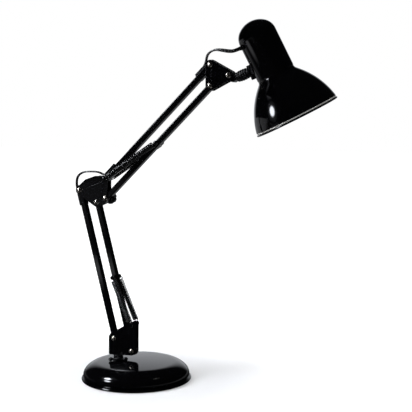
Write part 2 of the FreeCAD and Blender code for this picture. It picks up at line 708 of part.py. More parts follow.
cap_start = "(stub_length - stub_cap_length)"
spring_pin = turned("spring_pin", [
    ("0", "-stub_length", None),
    ("stub_cap_radius", "-stub_length", None),
    ("stub_cap_radius", f"-{cap_start}", None),
    ("pin_radius", f"-{cap_start}", None),
    ("pin_radius", cap_start, None),
    ("stub_cap_radius", cap_start, None),
    ("stub_cap_radius", "stub_length", None),
    ("0", "stub_length", None),
])
stub = turned("spring_stub", [
    ("0", HALF_GAP, None),
    ("pin_radius", HALF_GAP, None),
    ("pin_radius", cap_start, None),
    ("stub_cap_radius", cap_start, None),
    ("stub_cap_radius", "stub_length", None),
    ("0", "stub_length", None),
])
doc.recompute()
LUG = P1 + point(value("lug_run"), value("lug_rise"))
LOWER_PIN = P2 + LOWER * value("lower_pin_rise")
UPPER_PIN = Q3 + UPPER * value("upper_pin_reach")
turned_round = Rotation(Vector(1, 0, 0), 180)
shapes_node("lug_stubs", copies(stub, [Placement(LUG, ACROSS_TURN),
                                       Placement(LUG, turned_round.multiply(ACROSS_TURN))]))
shapes_node("elbow_spring_pin", copies(spring_pin, pinned(Q4)))
shapes_node("lower_spring_pin", copies(spring_pin, pinned(LOWER_PIN)))
shapes_node("upper_spring_pin", copies(spring_pin, pinned(UPPER_PIN)))

# bolts of the two clamped pivots: domed head on the near side, stud for the knob on the far side

clamp_seat = f"({head_seat} + washer_thickness)"


def clamp_bolt(label, length, spot):
    bolt = turned(label, [
        ("0", f"-({head_seat} + head_height)", dome),
        ("head_radius", f"-{head_seat}", None),
        ("pin_radius", f"-{head_seat}", None),
        ("pin_radius", f"{clamp_seat} + {length} - stud_inset", None),
        ("0", f"{clamp_seat} + {length} - stud_inset", None),
    ])
    node(label, bolt, pinned(spot)[0])


def clamp_washer(label, spot):
    disc = primitive("Cylinder", label + "_disc", Radius="washer_radius", Height="washer_thickness")
    bore = primitive("Cylinder", label + "_bore", Radius="pin_radius + running_gap", Height="washer_thickness")
    place = Placement(spot + ACROSS * value(head_seat), ACROSS_TURN)
    node(label, boolean("Cut", label, disc, bore), place)


clamp_bolt("elbow_bolt", "knob_thickness", Q3)
clamp_washer("elbow_washer", Q3)
clamp_bolt("head_bolt", "wing_nut_length", H3)
clamp_washer("head_washer", H3)

# lobed tension knob: a disc with round grooves between the lobes

knob = new_body("elbow_knob")
disc = new_sketch(knob, "XY_Plane")
circle(disc, "0", "0", "knob_radius")
circle(disc, "0", "0", "pin_radius + running_gap")
pad(knob, disc, "knob_thickness")
groove = new_sketch(knob, "XY_Plane")
circle(groove, "knob_radius + knob_groove_radius / 2", "0", "knob_groove_radius")
doc.recompute()
groove_cut = pocket(knob, groove, "knob_thickness", backwards=True)
lobes = knob.newObject("PartDesign::PolarPattern", "elbow_knob_lobes")
lobes.Originals = [groove_cut]
lobes.Axis = (disc, ["N_Axis"])
lobes.Angle = 360
lobes.Occurrences = int(value("knob_lobes"))
tie(lobes, "Occurrences", "knob_lobes")
knob.Tip = lobes
node("elbow_knob", knob, Placement(Q3 + ACROSS * value(clamp_seat), ACROSS_TURN))

# wing nut at the head pivot

nut_body = new_body("head_wing_nut")
hub = new_sketch(nut_body, "XY_Plane")
circle(hub, "0", "0", "wing_nut_hub")
pad(nut_body, hub, "wing_nut_length")
blades = new_sketch(nut_body, "XZ_Plane")
blade_end = "wing_nut_length / 2"
outline(blades, [
    (f"-wing_nut_reach + {blade_end}", f"{blade_end} + wing_nut_lift", blade_end),
    (f"wing_nut_reach - {blade_end}", f"{blade_end} + wing_nut_lift", blade_end),
])
pad(nut_body, blades, "wing_nut_blade", middle=True)
nut_hole = new_sketch(nut_body, "XY_Plane")
circle(nut_hole, "0", "0", "pin_radius + running_gap")
doc.recompute()
pocket(nut_body, nut_hole, "4 * wing_nut_length", middle=True)
node("head_wing_nut", nut_body, Placement(H3 + ACROSS * value(clamp_seat), ACROSS_TURN))


# arms: square tube with pivot holes, local Z along the tube and 0 at its lower pivot

def rounded_square(sketch, half, radius):
    outline(sketch, [
        (f"{half} - ({radius})", f"-({half} - ({radius}))", radius),
        (f"{half} - ({radius})", f"{half} - ({radius})", radius),
        (f"-({half} - ({radius}))", f"{half} - ({radius})", radius),
        (f"-({half} - ({radius}))", f"-({half} - ({radius}))", radius),
    ])


def square_tube(label, length, spring_pin_at, slots, origin, turn):
    body = new_body(label)
    section = new_sketch(body, "XY_Plane", "-tube_overhang")
    rounded_square(section, "tube_width / 2", "tube_round")
    rounded_square(section, "(tube_width / 2 - tube_wall)", "tube_round - tube_wall")
    pad(body, section, f"{length} + 2 * tube_overhang")
    drilled = new_sketch(body, "XZ_Plane")
    for height in ("0", length):
        circle(drilled, "0", height, "pin_radius + running_gap")
    if spring_pin_at:
        circle(drilled, "0", spring_pin_at, "pin_radius + running_gap")
    doc.recompute()
    pocket(body, drilled, "2 * tube_width", middle=True)
    for low, high in slots:
        slot = new_sketch(body, "YZ_Plane", "-tube_width")
        outline(slot, [
            ("0", high, "slot_width / 2"),
            ("0", low, "slot_width / 2"),
        ])
        pocket(body, slot, "tube_width", backwards=True)
    node(label, body, Placement(origin, turn))


lower_slot = ("lower_length - slot_near_elbow - slot_length", "lower_length - slot_near_elbow")
upper_slots = [
    ("slot_near_elbow", "slot_near_elbow + slot_length"),
    ("upper_length - slot_near_head - slot_length", "upper_length - slot_near_head"),
]
square_tube("rear_lower_tube", "lower_length", None, [lower_slot], P1, LOWER_TURN)
square_tube("front_lower_tube", "lower_length", "lower_pin_rise", [], P2, LOWER_TURN)
square_tube("top_upper_tube", "upper_length", None, upper_slots, Q4, UPPER_TURN)
square_tube("lower_upper_tube", "upper_length", "upper_pin_reach", [], Q3, UPPER_TURN)

# nylon washers between tubes and side plates

bush = primitive("Cylinder", "bush_disc", Radius="bush_radius", Height=f"{HALF_GAP} - tube_width / 2")
bush_bore = primitive("Cylinder", "bush_bore", Radius="pin_radius + running_gap",
                      Height=f"{HALF_GAP} - tube_width / 2")
bush_ring = boolean("Cut", "bush_ring", bush, bush_bore)
doc.recompute()


def bushes(label, *spots):
    places = []
    for spot in spots:
        places.append(Placement(spot + ACROSS * value("tube_width / 2"), ACROSS_TURN))
        places.append(Placement(spot - ACROSS * value(HALF_GAP), ACROSS_TURN))
    shapes_node(label, copies(bush_ring, places))


bushes("lower_bushes", P1, P2)
bushes("elbow_bushes", Q2, Q3)
bushes("head_bushes", H1, H2)


# plastic end sleeves: a square sleeve round the tube, with a hood over the cable on its -X side

def sleeve(label, low, high, hood_low, hood_high, pivot, origin, turn):
    body = new_body(label)
    inner = "(tube_width / 2 + sleeve_gap)"
    outer = f"({inner} + sleeve_wall)"
    section = new_sketch(body, "XY_Plane", low)
    rounded_square(section, outer, "tube_round + sleeve_gap + sleeve_wall")
    pad(body, section, f"{high} - ({low})")
    hood = new_sketch(body, "XY_Plane", hood_low)
    circle(hood, "-core_lift", "0", "hood_radius")
    pad(body, hood, f"{hood_high} - ({hood_low})")
    bore = new_sketch(body, "XY_Plane", low)
    rounded_square(bore, inner, "tube_round + sleeve_gap")
    doc.recompute()
    pocket(body, bore, f"{high} - ({low})", backwards=True)
    channel = new_sketch(body, "XY_Plane", hood_low)
    outline(channel, [
        ("-core_lift - hood_room", "-core_spacing / 2", "core_radius + fit_gap"),
        ("-core_depth", "-core_spacing / 2", "core_radius + fit_gap"),
        ("-core_depth", "core_spacing / 2", "core_radius + fit_gap"),
        ("-core_lift - hood_room", "core_spacing / 2", "core_radius + fit_gap"),
    ])
    pocket(body, channel, f"{hood_high} - ({hood_low})", backwards=True)
    if pivot is not None:
        drilled = new_sketch(body, "XZ_Plane")
        circle(drilled, "0", pivot, "pin_radius + running_gap")
        pocket(body, drilled, "4 * tube_width", middle=True)
    node(label, body, Placement(origin, turn))


sleeve("rear_lower_sleeve", "lower_length - sleeve_root", "lower_length + sleeve_beyond",
       "lower_length - sleeve_root", "lower_length - elbow_hood_end", "lower_length", P1, LOWER_TURN)
sleeve("top_upper_sleeve_low", "-sleeve_beyond", "upper_sleeve_length", "upper_hood_start",
       "upper_sleeve_length", "0", Q4, UPPER_TURN)
sleeve("top_upper_sleeve_high", "upper_length - head_sleeve_root", "upper_length - head_sleeve_end",
       "upper_length - head_sleeve_root", "upper_length - head_hood_end", None, Q4, UPPER_TURN)

# faceted round tubes along edges: spring wire and cable cores

def polygon_at(spot, direction, radius, sides):
    direction = Vector(direction).normalize()
    first = ACROSS.cross(direction)
    if first.Length < 0.1:
        first = UP.cross(direction)
    first.normalize()
    second = direction.cross(first)
    corners = []
    for i in range(sides):
        angle = 2 * math.pi * (i + 0.5) / sides
        corners.append(spot + first * radius * math.cos(angle) + second * radius * math.sin(angle))
    return Part.makePolygon(corners + corners[:1])


def tube_along(edges, direction, radius, sides):
    path = Part.Wire(edges)
    start = edges[0].valueAt(edges[0].FirstParameter)
    solid = path.makePipeShell([polygon_at(start, direction, radius, sides)], True, False)
    section = sides / 2 * radius * radius * math.sin(2 * math.pi / sides)
    return solid, path, solid.Volume / (section * path.Length)


def arc_between(start, direction, end):
    chord = end - start
    side = direction.cross(chord)
    if side.Length < 1e-6 * chord.Length:
        return Part.LineSegment(start, end).toShape()
    inward = side.cross(direction).normalize()
    radius = chord.dot(chord) / (2 * chord.dot(inward))
    centre = start + inward * radius
    half = ((start + end) * 0.5 - centre)
    middle = centre + half.normalize() * radius
    return Part.Arc(start, middle, end).toShape()


# two arcs from a point and direction to the next, meeting in one direction
def biarc(start, leaving, end, arriving):
    span = end - start
    both = leaving + arriving
    square = 2 * (1 - leaving.dot(arriving))
    linear = 2 * span.dot(both)
    if square < 1e-9:
        reach = span.dot(span) / (2 * linear / 2) if linear else 0
    else:
        reach = (-linear + math.sqrt(linear * linear + 4 * square * span.dot(span))) / (2 * square)
    first = start + leaving * reach
    last = end - arriving * reach
    middle = (first + last) * 0.5
    turning = (last - first).normalize()
    return [arc_between(start, leaving, middle), arc_between(middle, turning, end)]


# a tension spring between two pins: straight end, open loop round the pin, coils by half
# turns, and the same again; local Z runs along the spring and local Y is the pin's axis
def spring(curls, length):
    coil = value("spring_radius")
    loop = value("eye_radius")
    reach = value("eye_reach")
    straight = 2 * value("wire_radius")
    pitch = (length - 2 * reach) / curls
    x, z = Vector(1, 0, 0), UP
    end_loop = [(z * loop, x * -1), (x * -loop, z * -1), (z * -loop, x), (x * loop, z)]
    stations = [(z * loop + x * straight, x * -1)] + end_loop
    for i in range(2 * curls + 1):
        angle = math.pi * i
        spot = Vector(coil * math.cos(angle), coil * math.sin(angle), reach + pitch * i / 2)
        heading = Vector(-coil * math.sin(angle), coil * math.cos(angle), pitch / (2 * math.pi))
        stations.append((spot, heading.normalize()))
    for spot, heading in end_loop[::-1]:
        stations.append((Vector(spot.x, 0, length - spot.z), Vector(-heading.x, 0, heading.z)))
    stations.append((Vector(straight, 0, length - loop), x))
    edges = []
    for (start, leaving), (end, arriving) in zip(stations, stations[1:]):
        if (end - start).cross(leaving).Length < 1e-9:
            edges.append(Part.LineSegment(start, end).toShape())
        else:
            edges.extend(biarc(start, leaving, end, arriving))
    return edges


# least distance between parts of one wire that lie more than a loop's width apart along it
def own_gap(edges, thickness):
    spots = []
    walked = 0.0
    for edge in edges:
        for share in (0, 0.25, 0.5, 0.75):
            at = edge.getParameterByLength(edge.Length * share)
            spots.append((edge.valueAt(at), walked + edge.Length * share))
        walked += edge.Length
    least = None
    for i, (spot, where) in enumerate(spots):
        for other, there in spots[i + 1:]:
            if there - where < 5 * thickness:
                continue
            gap = (other - spot).Length - thickness
            if least is None or gap < least:
                least = gap
    return least


def spring_pair(label, curls, foot, tip):
    span = tip - foot
    edges = spring(int(value(curls)), span.Length)
    wire = value("wire_radius")
    solid, path, share = tube_along(edges, Vector(-1, 0, 0), wire, int(value("wire_sides")))
    tightest = min(edge.Curve.Radius for edge in edges if hasattr(edge.Curve, "Radius"))
    print("%s: least gap to itself %.2f, tightest radius %.2f, volume share %.4f"
          % (label, own_gap(edges, 2 * wire), tightest, share))
    turn = Rotation(ACROSS.cross(span), ACROSS, span, "ZXY")
    shapes = []
    for side in (NEAR, FAR):
        shape = solid.copy()
        shape.Placement = Placement(foot + ACROSS * side * value("spring_offset"), turn)
        shapes.append(shape)
    shapes_node(label, shapes)


spring_pair("lower_springs", "lower_curls", LUG, LOWER_PIN)
spring_pair("upper_springs", "upper_curls", Q4, UPPER_PIN)


# stem that grows from a flat lug with its eye, ribbed boot, clip and nut; local Z along the stem,
# local X downwards, 0 at the head pivot

STEM_AT = Placement(STEM_FOOT, STEM_TURN)
clip_face = f"(boot_start + boot_length)"
nut_face = f"({clip_face} + clip_thickness)"
root_z = "(boot_start - stem_root_round)"
stem_lug = new_body("stem_lug")
lug_side = new_sketch(stem_lug, "XZ_Plane")
outline(lug_side, [("0", "0", "eye_plate_radius"), ("stem_drop", root_z, "stem_root_round")])
pad(stem_lug, lug_side, "plate_gap", middle=True)
stem_rod = primitive("Cylinder", "stem_rod", Radius="stem_radius",
                     Height=f"{nut_face} + stem_nut_length - {root_z}")
stem_rod.Placement.Base = Vector(value("stem_drop"), 0, value(root_z))
stem_bore = primitive("Cylinder", "stem_bore", Radius="pin_radius + running_gap", Height="2 * plate_gap")
stem_bore.Placement = Placement(ACROSS * -value("plate_gap"), Rotation(UP, ACROSS))
stem_solid = boolean("Fuse", "stem_solid", stem_lug, stem_rod)
node("knuckle_stem", boolean("Cut", "knuckle_stem", stem_solid, stem_bore), Placement(H3, STEM_TURN))


def boot_radius(share):
    return f"boot_end_radius + boot_swell * (1 - (2 * ({share}) - 1)^2)"


ribs = int(value("boot_ribs"))
boot_points = [("stem_radius + running_gap", "boot_start", None)]
for i in range(ribs):
    for share, lift in ((i / ribs, "0"), ((i + 0.25) / ribs, "boot_rib_height"),
                        ((i + 0.75) / ribs, "boot_rib_height")):
        boot_points.append((f"{boot_radius(share)} - boot_rib_height + {lift}",
                            f"boot_start + boot_length * {share}", None))
boot_points.append((f"{boot_radius(1)} - boot_rib_height", clip_face, None))
boot_points.append(("stem_radius + running_gap", clip_face, None))
node("knuckle_boot", turned("knuckle_boot", boot_points), STEM_AT)

stem_nut = primitive("Prism", "stem_nut_blank", Circumradius="stem_nut_radius",
                     Height="stem_nut_length")
stem_nut_bore = primitive("Cylinder", "stem_nut_bore", Radius="stem_radius", Height="stem_nut_length")
node("knuckle_nut", boolean("Cut", "knuckle_nut", stem_nut, stem_nut_bore),
     Placement(STEM_FOOT + STEM * value(nut_face), STEM_TURN))

# clip of the lamp housing: a plate square to the stem and two tabs that reach the housing wall;
# it turns with the head

CLIP_TURN = Rotation(STEM, value("head_turn")).multiply(STEM_TURN)
CLIP_AT = Placement(STEM_FOOT + STEM * value(clip_face), CLIP_TURN)
clip_plate = primitive("Box", "clip_plate", Length="clip_above + clip_below", Width="clip_width",
                       Height="clip_thickness")
clip_plate.Placement.Base = Vector(-value("clip_above"), -value("clip_width") / 2, 0)
clip_bore = primitive("Cylinder", "clip_bore", Radius="stem_radius + running_gap", Height="clip_thickness")
tab_high = primitive("Box", "clip_tab_high", Length="clip_thickness", Width="clip_width",
                     Height="housing_radius / 2")
tab_high.Placement.Base = Vector(-value("clip_above"), -value("clip_width") / 2, 0)
tab_low = primitive("Box", "clip_tab_low", Length="clip_thickness", Width="clip_width",
                    Height="housing_radius / 2")
tab_low.Placement.Base = Vector(value("clip_below - clip_thickness"), -value("clip_width") / 2, 0)
clip_solid = boolean("Fuse", "clip_solid", clip_plate, tab_high, tab_low)
wall = primitive("Cylinder", "clip_wall", Radius="housing_radius", Height="4 * housing_radius")
wall_frame = CLIP_AT.inverse().multiply(HEAD)
wall.Placement = wall_frame.multiply(Placement(UP * -2 * value("housing_radius"), Rotation()))
node("housing_clip", boolean("Cut", "housing_clip", clip_solid, clip_bore, wall), CLIP_AT)

# head: local Z along the housing, 0 where the stem's axis meets it, rim of the shade below

rim_z = "(-rim_drop)"
bend_z = f"({rim_z} + rim_band)"
foot_z = f"({bend_z} + rim_bend * {sine('bell_start_angle')})"
foot_r = f"(rim_radius - rim_bend * (1 - {cosine('bell_start_angle')}))"
bell_z = f"({foot_z} - bell_round * {sine('bell_start_angle')})"
bell_r = f"({foot_r} - bell_round * {cosine('bell_start_angle')})"
top_z = f"({bell_z} + bell_round * {sine('bell_end_angle')})"
top_r = f"({bell_r} + bell_round * {cosine('bell_end_angle')})"
slant_z = f"({top_z} + throat_run)"
slant_r = f"({top_r} - throat_run * {sine('bell_end_angle')} / {cosine('bell_end_angle')})"
neck_z = f"({slant_z} + throat_round * {sine('bell_end_angle')})"
neck_r = f"({slant_r} - throat_round * (1 - {cosine('bell_end_angle')}))"
spigot_r = "(housing_radius - housing_wall - running_gap)"


def inset(r, z, angle):
    return (f"{r} - shade_wall * {cosine(angle)}", f"{z} - shade_wall * {sine(angle)}")


inner_foot = inset(foot_r, foot_z, "bell_start_angle")
inner_top = inset(top_r, top_z, "bell_end_angle")
inner_slant = inset(slant_r, slant_z, "bell_end_angle")
shade = turned("shade", [
    ("rim_radius", rim_z, None),
    ("rim_radius", bend_z, "rim_bend"),
    (foot_r, foot_z, "bell_round"),
    (top_r, top_z, None),
    (slant_r, slant_z, "-throat_round"),
    (neck_r, neck_z, None),
    (spigot_r, neck_z, None),
    (spigot_r, f"{neck_z} + spigot_length", None),
    (f"{spigot_r} - shade_wall", f"{neck_z} + spigot_length", None),
    (f"{spigot_r} - shade_wall", neck_z, None),
    (inner_slant[0], inner_slant[1], None),
    (inner_top[0], inner_top[1], "-(bell_round - shade_wall)"),
    (inner_foot[0], inner_foot[1], None),
    ("rim_radius - shade_wall", bend_z, None),
    ("rim_radius - shade_wall", rim_z, None),
])
node("shade", shade, HEAD)

bead = primitive("Torus", "shade_bead", Radius1="rim_radius - shade_wall / 2", Radius2="rim_bead")
band_out = primitive("Cylinder", "band_out", Radius="rim_radius", Height="2 * rim_bead")
band_in = primitive("Cylinder", "band_in", Radius="rim_radius - shade_wall", Height="2 * rim_bead")
band = boolean("Cut", "rim_channel", band_out, band_in)
node("shade_rim", boolean("Cut", "shade_rim", bead, band), HEAD.multiply(
    Placement(UP * value(rim_z), Rotation())))

house_low = neck_z
house_top = f"({house_low} + housing_straight)"
crown_angle = "housing_shoulder_angle"
crown_r = f"((housing_radius - housing_shoulder * (1 - {cosine(crown_angle)})) / {cosine(crown_angle)})"
crown_c = f"({house_top} + housing_shoulder * {sine(crown_angle)} - {crown_r} * {sine(crown_angle)})"


def on_crown(inset_by):
    return (f"({crown_r} - {inset_by}) * {cosine(crown_angle)}",
            f"{crown_c} + ({crown_r} - {inset_by}) * {sine(crown_angle)}")


crown_out = on_crown("0")
crown_in = on_crown("housing_wall")
housing = turned("housing_shell", [
    ("housing_radius", house_low, None),
    ("housing_radius", house_top, "housing_shoulder"),
    (crown_out[0], crown_out[1], crown_r),
    ("0", f"{crown_c} + {crown_r}", None),
    ("0", f"{crown_c} + {crown_r} - housing_wall", f"-({crown_r} - housing_wall)"),
    (crown_in[0], crown_in[1], "-(housing_shoulder - housing_wall)"),
    ("housing_radius - housing_wall", house_top, None),
    ("housing_radius - housing_wall", house_low, None),
])
GROMMET_TURN = Rotation(UP, value("grommet_bearing")).multiply(about_y(90))
grommet_hole = primitive("Cylinder", "grommet_hole", Radius="grommet_hole_radius", Height="2 * housing_radius")
grommet_hole.Placement = Placement(UP * value("grommet_height"), GROMMET_TURN)
node("lamp_housing", boolean("Cut", "lamp_housing", housing, grommet_hole), HEAD)

core_slot = "(core_radius + fit_gap)"
grommet_out = "(housing_radius + grommet_length)"
grommet_in = "(housing_radius - housing_wall)"
grommet = turned("grommet_turning", [
    ("0", f"{grommet_in} - grommet_inside", None),
    ("grommet_hole_radius - running_gap", f"{grommet_in} - grommet_inside", None),
    ("grommet_hole_radius - running_gap", "housing_radius + grommet_seat", None),
    ("grommet_radius", "housing_radius + grommet_flare", None),
    ("grommet_radius - grommet_taper", grommet_out, None),
    ("0", grommet_out, None),
])
core_holes = []
for side in (NEAR, FAR):
    bore = primitive("Cylinder", "core_hole", Radius="core_radius + running_gap", Height="2 * housing_radius")
    bore.Placement.Base = Vector(side * value("core_spacing") / 2, 0, 0)
    core_holes.append(bore)
node("cable_grommet", boolean("Cut", "cable_grommet", grommet, *core_holes),
     HEAD.multiply(Placement(UP * value("grommet_height"), GROMMET_TURN)))

# lamp holder: body with a mouth, threaded shell, contact, nipple and bridge plate

holder_top = "(holder_low + holder_length)"
shell_out = "(thread_radius + thread_wall)"
shell_low = "(holder_low + thread_inset)"
shell_top = "(holder_low + thread_inset + thread_length)"
shell_taper = f"({shell_top} - thread_end_length)"
holder = turned("lamp_holder", [
    (f"{shell_out} + running_gap", "holder_low", None),
    ("holder_radius + holder_flange", "holder_low", None),
    ("holder_radius + holder_flange", "holder_low + holder_collar", None),
    ("holder_radius", "holder_low + holder_collar", None),
    ("holder_radius", f"{holder_top} - holder_taper_length", None),
    ("holder_radius - holder_taper", holder_top, None),
    ("nipple_radius", holder_top, None),
    ("nipple_radius", f"{holder_top} - nipple_depth", None),
    ("0", f"{holder_top} - nipple_depth", None),
    ("0", shell_top, None),
    (f"{shell_out} + running_gap", shell_top, None),
])
node("lamp_holder", holder, HEAD)
thread = turned("holder_thread", [
    ("thread_radius", shell_low, None),
    (shell_out, shell_low, None),
    (shell_out, shell_taper, None),
    ("thread_end_radius + thread_wall", shell_top, None),
    ("shell_hole_radius", shell_top, None),
    ("shell_hole_radius", f"{shell_top} - thread_wall", None),
    ("thread_end_radius", f"{shell_top} - thread_wall", None),
    ("thread_radius", shell_taper, None),
])
node("holder_thread", thread, HEAD)
contact = turned("holder_contact", [
    ("0", f"{shell_top} - contact_height", None),
    ("contact_radius", f"{shell_top} - contact_height + contact_dome", None),
    ("contact_radius", shell_top, None),
    ("0", shell_top, None),
])
node("holder_contact", contact, HEAD)
nipple = primitive("Cylinder", "holder_nipple", Radius="nipple_radius",
                   Height="nipple_depth + bridge_thickness + nipple_beyond")
nipple_place = Placement(UP * value(f"{holder_top} - nipple_depth"), Rotation())
node("holder_nipple", nipple, HEAD.multiply(nipple_place))

bridge = new_body("holder_bridge")
round_plate = new_sketch(bridge, "XY_Plane")
circle(round_plate, "0", "0", "housing_radius - housing_wall - running_gap")
circle(round_plate, "0", "0", "nipple_radius")
pad(bridge, round_plate, "bridge_thickness")
vent = new_sketch(bridge, "XY_Plane")
circle(vent, "vent_circle", "0", "vent_radius")
doc.recompute()
vent_cut = pocket(bridge, vent, "bridge_thickness", backwards=True)
vents = bridge.newObject("PartDesign::PolarPattern", "holder_bridge_vents")
vents.Originals = [vent_cut]
vents.Axis = (round_plate, ["N_Axis"])
vents.Angle = 360
vents.Occurrences = int(value("vent_count"))
tie(vents, "Occurrences", "vent_count")
bridge.Tip = vents
node("holder_bridge", bridge, HEAD.multiply(Placement(UP * value(holder_top), Rotation())))

# cable: two single cores from inside the rear lower tube, round the elbow and the head
# bracket, into the grommet; each arc is as large as its two runs allow

lower_side = LOWER_TURN.multVec(Vector(-1, 0, 0))
upper_side = UPPER_TURN.multVec(Vector(-1, 0, 0))
deep = value("core_depth")
lifted = value("core_lift")


def on_lower(distance, lift):
    return P1 + LOWER * distance + lower_side * lift


def on_upper(distance, lift):
    return Q4 + UPPER * distance + upper_side * lift


lower_end = value("lower_length")
upper_end = value("upper_length")
grommet_axis = HEAD.Rotation.multVec(GROMMET_TURN.multVec(UP))
grommet_side = HEAD.Rotation.multVec(UP)
grommet_at = HEAD.multVec(UP * value("grommet_height"))
half = value("core_spacing") / 2

# each station: point, direction in which the two cores lie apart, distance from the middle
route = [
    (on_lower(12, deep), ACROSS, half),
    (on_lower(lower_end - 26, deep), ACROSS, half),
    (on_lower(lower_end - 12, lifted), ACROSS, half),
    (on_lower(lower_end + 9.5, lifted + value("core_rise")), ACROSS, half),
    (Q1 + point(-8.5, 24), ACROSS, half),
    (Q1 + point(4, 33.6), ACROSS, half),
    (Q1 + point(22, 34.6), ACROSS, half),
    (Q4 + point(-16, 11.5), ACROSS, half),
    (on_upper(1, lifted), ACROSS, half),
    (on_upper(13, lifted), ACROSS, half),
    (on_upper(27, deep), ACROSS, half),
    (on_upper(upper_end - 33, deep), ACROSS, half),
    (on_upper(upper_end - 20, lifted), ACROSS, half),
    (on_upper(upper_end - 7, lifted + value("core_climb")), ACROSS, half),
    (H1 + point(-9, 19), ACROSS, half),
    (H1 + point(6, 26, -1.5), ACROSS + UP * 0.3, 1.4),
    (H1 + point(19, 23.5, -5), ACROSS + UP * 0.7, 1.7),
    (H1 + point(37, 20, -14), ACROSS + UP, 2.0),
    (grommet_at + grommet_axis * value(f"{grommet_out} + 9"), grommet_side, half),
    (grommet_at + grommet_axis * value(f"{grommet_in} - 6"), grommet_side, half),
]
# the run, counted from 0, in whose middle each stretch ends
stretches = {
    "cable_lower": (0, 2),
    "cable_elbow_rear": (2, 5),
    "cable_elbow_front": (5, 8),
    "cable_upper": (8, 12),
    "cable_head_rear": (12, 14),
    "cable_head_middle": (14, 16),
    "cable_head_front": (16, 18),
}


def core_edges(points):
    radii = []
    runs = []
    corners = []
    for i in range(1, len(points) - 1):
        arriving = points[i] - points[i - 1]
        leaving = points[i + 1] - points[i]
        half_turn = arriving.getAngle(leaving) / 2
        reach = 0.45 * min(arriving.Length, leaving.Length)
        radii.append(reach / math.tan(half_turn))
        arriving.normalize()
        leaving.normalize()
        corners.append((points[i] - arriving * reach, arriving, points[i] + leaving * reach))
    start = points[0]
    for begin, direction, end in corners:
        runs.append([start, begin])
        start = end
    runs.append([start, points[-1]])
    bends = [arc_between(begin, direction, end) for begin, direction, end in corners]
    return runs, bends, radii


def cable_node(label, first, last):
    solids = []
    for side in (NEAR, FAR):
        points = [spot + Vector(apart).normalize() * side * distance for spot, apart, distance in route]
        runs, bends, radii = core_edges(points)
        edges = []
        for run in range(first, last + 1):
            start, end = runs[run]
            if run == first and first > 0:
                start = (start + end) * 0.5
            if run == last and last < len(runs) - 1:
                end = (start + end) * 0.5
            edges.append(Part.LineSegment(start, end).toShape())
            if run < last:
                edges.append(bends[run])
        direction = edges[0].tangentAt(edges[0].FirstParameter)
        solid, path, share = tube_along(edges, direction, value("core_radius"), int(value("core_sides")))
        solids.append(solid)
        print("%s: bend radii %s, volume share %.4f"
              % (label, " ".join("%.1f" % radius for radius in radii[first:last]), share))
    shapes_node(label, solids)


for label, (first, last) in stretches.items():
    cable_node(label, first, last)

doc.recompute()

for thing in doc.Objects:
    if "Invalid" in thing.State or "Error" in thing.State:
        raise ValueError("%s failed: %s" % (thing.Label, thing.State))
for label, thing in NODES.items():
    if thing.Shape.isNull() or not thing.Shape.isValid() or not thing.Shape.Solids:
        raise ValueError("%s has no valid solid" % label)

os.makedirs("parts", exist_ok=True)
for label, thing in NODES.items():
    thing.Shape.exportStep("parts/%s.step" % label)
print("%d sub-parts" % len(NODES))
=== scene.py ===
import json
import math

import bmesh
import bpy
from bpy.props import FloatProperty, FloatVectorProperty, PointerProperty
from mathutils import Matrix, Vector


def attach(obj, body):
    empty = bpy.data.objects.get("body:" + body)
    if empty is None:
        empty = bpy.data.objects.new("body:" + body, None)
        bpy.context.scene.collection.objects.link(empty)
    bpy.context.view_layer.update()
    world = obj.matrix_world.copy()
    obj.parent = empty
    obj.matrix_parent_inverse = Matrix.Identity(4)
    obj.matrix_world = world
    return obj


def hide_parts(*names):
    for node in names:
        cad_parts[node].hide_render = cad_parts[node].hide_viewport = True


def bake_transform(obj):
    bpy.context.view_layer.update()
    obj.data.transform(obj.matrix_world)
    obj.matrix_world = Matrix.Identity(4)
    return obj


bl_info = {
    "name": "Swing-Arm Desk Lamp",
    "version": (1, 0, 0),
    "blender": (4, 5, 0),
    "location": "3D View > Sidebar > Desk Lamp",
    "description": "Dresses a black swing-arm desk lamp: spun steel, springs, flex, fixings and its studio",
    "category": "Object",
}

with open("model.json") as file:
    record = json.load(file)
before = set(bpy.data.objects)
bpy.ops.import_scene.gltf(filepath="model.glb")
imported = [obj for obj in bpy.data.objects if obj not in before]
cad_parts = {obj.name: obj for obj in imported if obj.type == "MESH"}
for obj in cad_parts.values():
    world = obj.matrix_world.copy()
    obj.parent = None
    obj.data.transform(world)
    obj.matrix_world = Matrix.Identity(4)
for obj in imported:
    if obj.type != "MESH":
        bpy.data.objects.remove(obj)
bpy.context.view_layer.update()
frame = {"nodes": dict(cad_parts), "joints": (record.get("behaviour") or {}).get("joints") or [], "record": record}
JOINTS = {joint["name"]: joint for joint in frame["joints"]}
MOUNTS = {mount["name"]: mount for mount in frame["record"]["mounts"]}
MM = 0.001
ACROSS = Vector((0, 1, 0))
UP = Vector((0, 0, 1))
STAY = Matrix.Identity(4)

FINISHES = {}


def pivot(joint):
    return Vector(JOINTS[joint]["pos_m"])


def about_y(degrees):
    return Matrix.Rotation(math.radians(degrees), 4, "Y")


def linear(code):
    """An sRGB hex value as the linear colour that a shader takes."""
    parts = [int(code[i:i + 2], 16) / 255 for i in (1, 3, 5)]
    return [part / 12.92 if part <= 0.04045 else ((part + 0.055) / 1.055) ** 2.4 for part in parts] + [1.0]


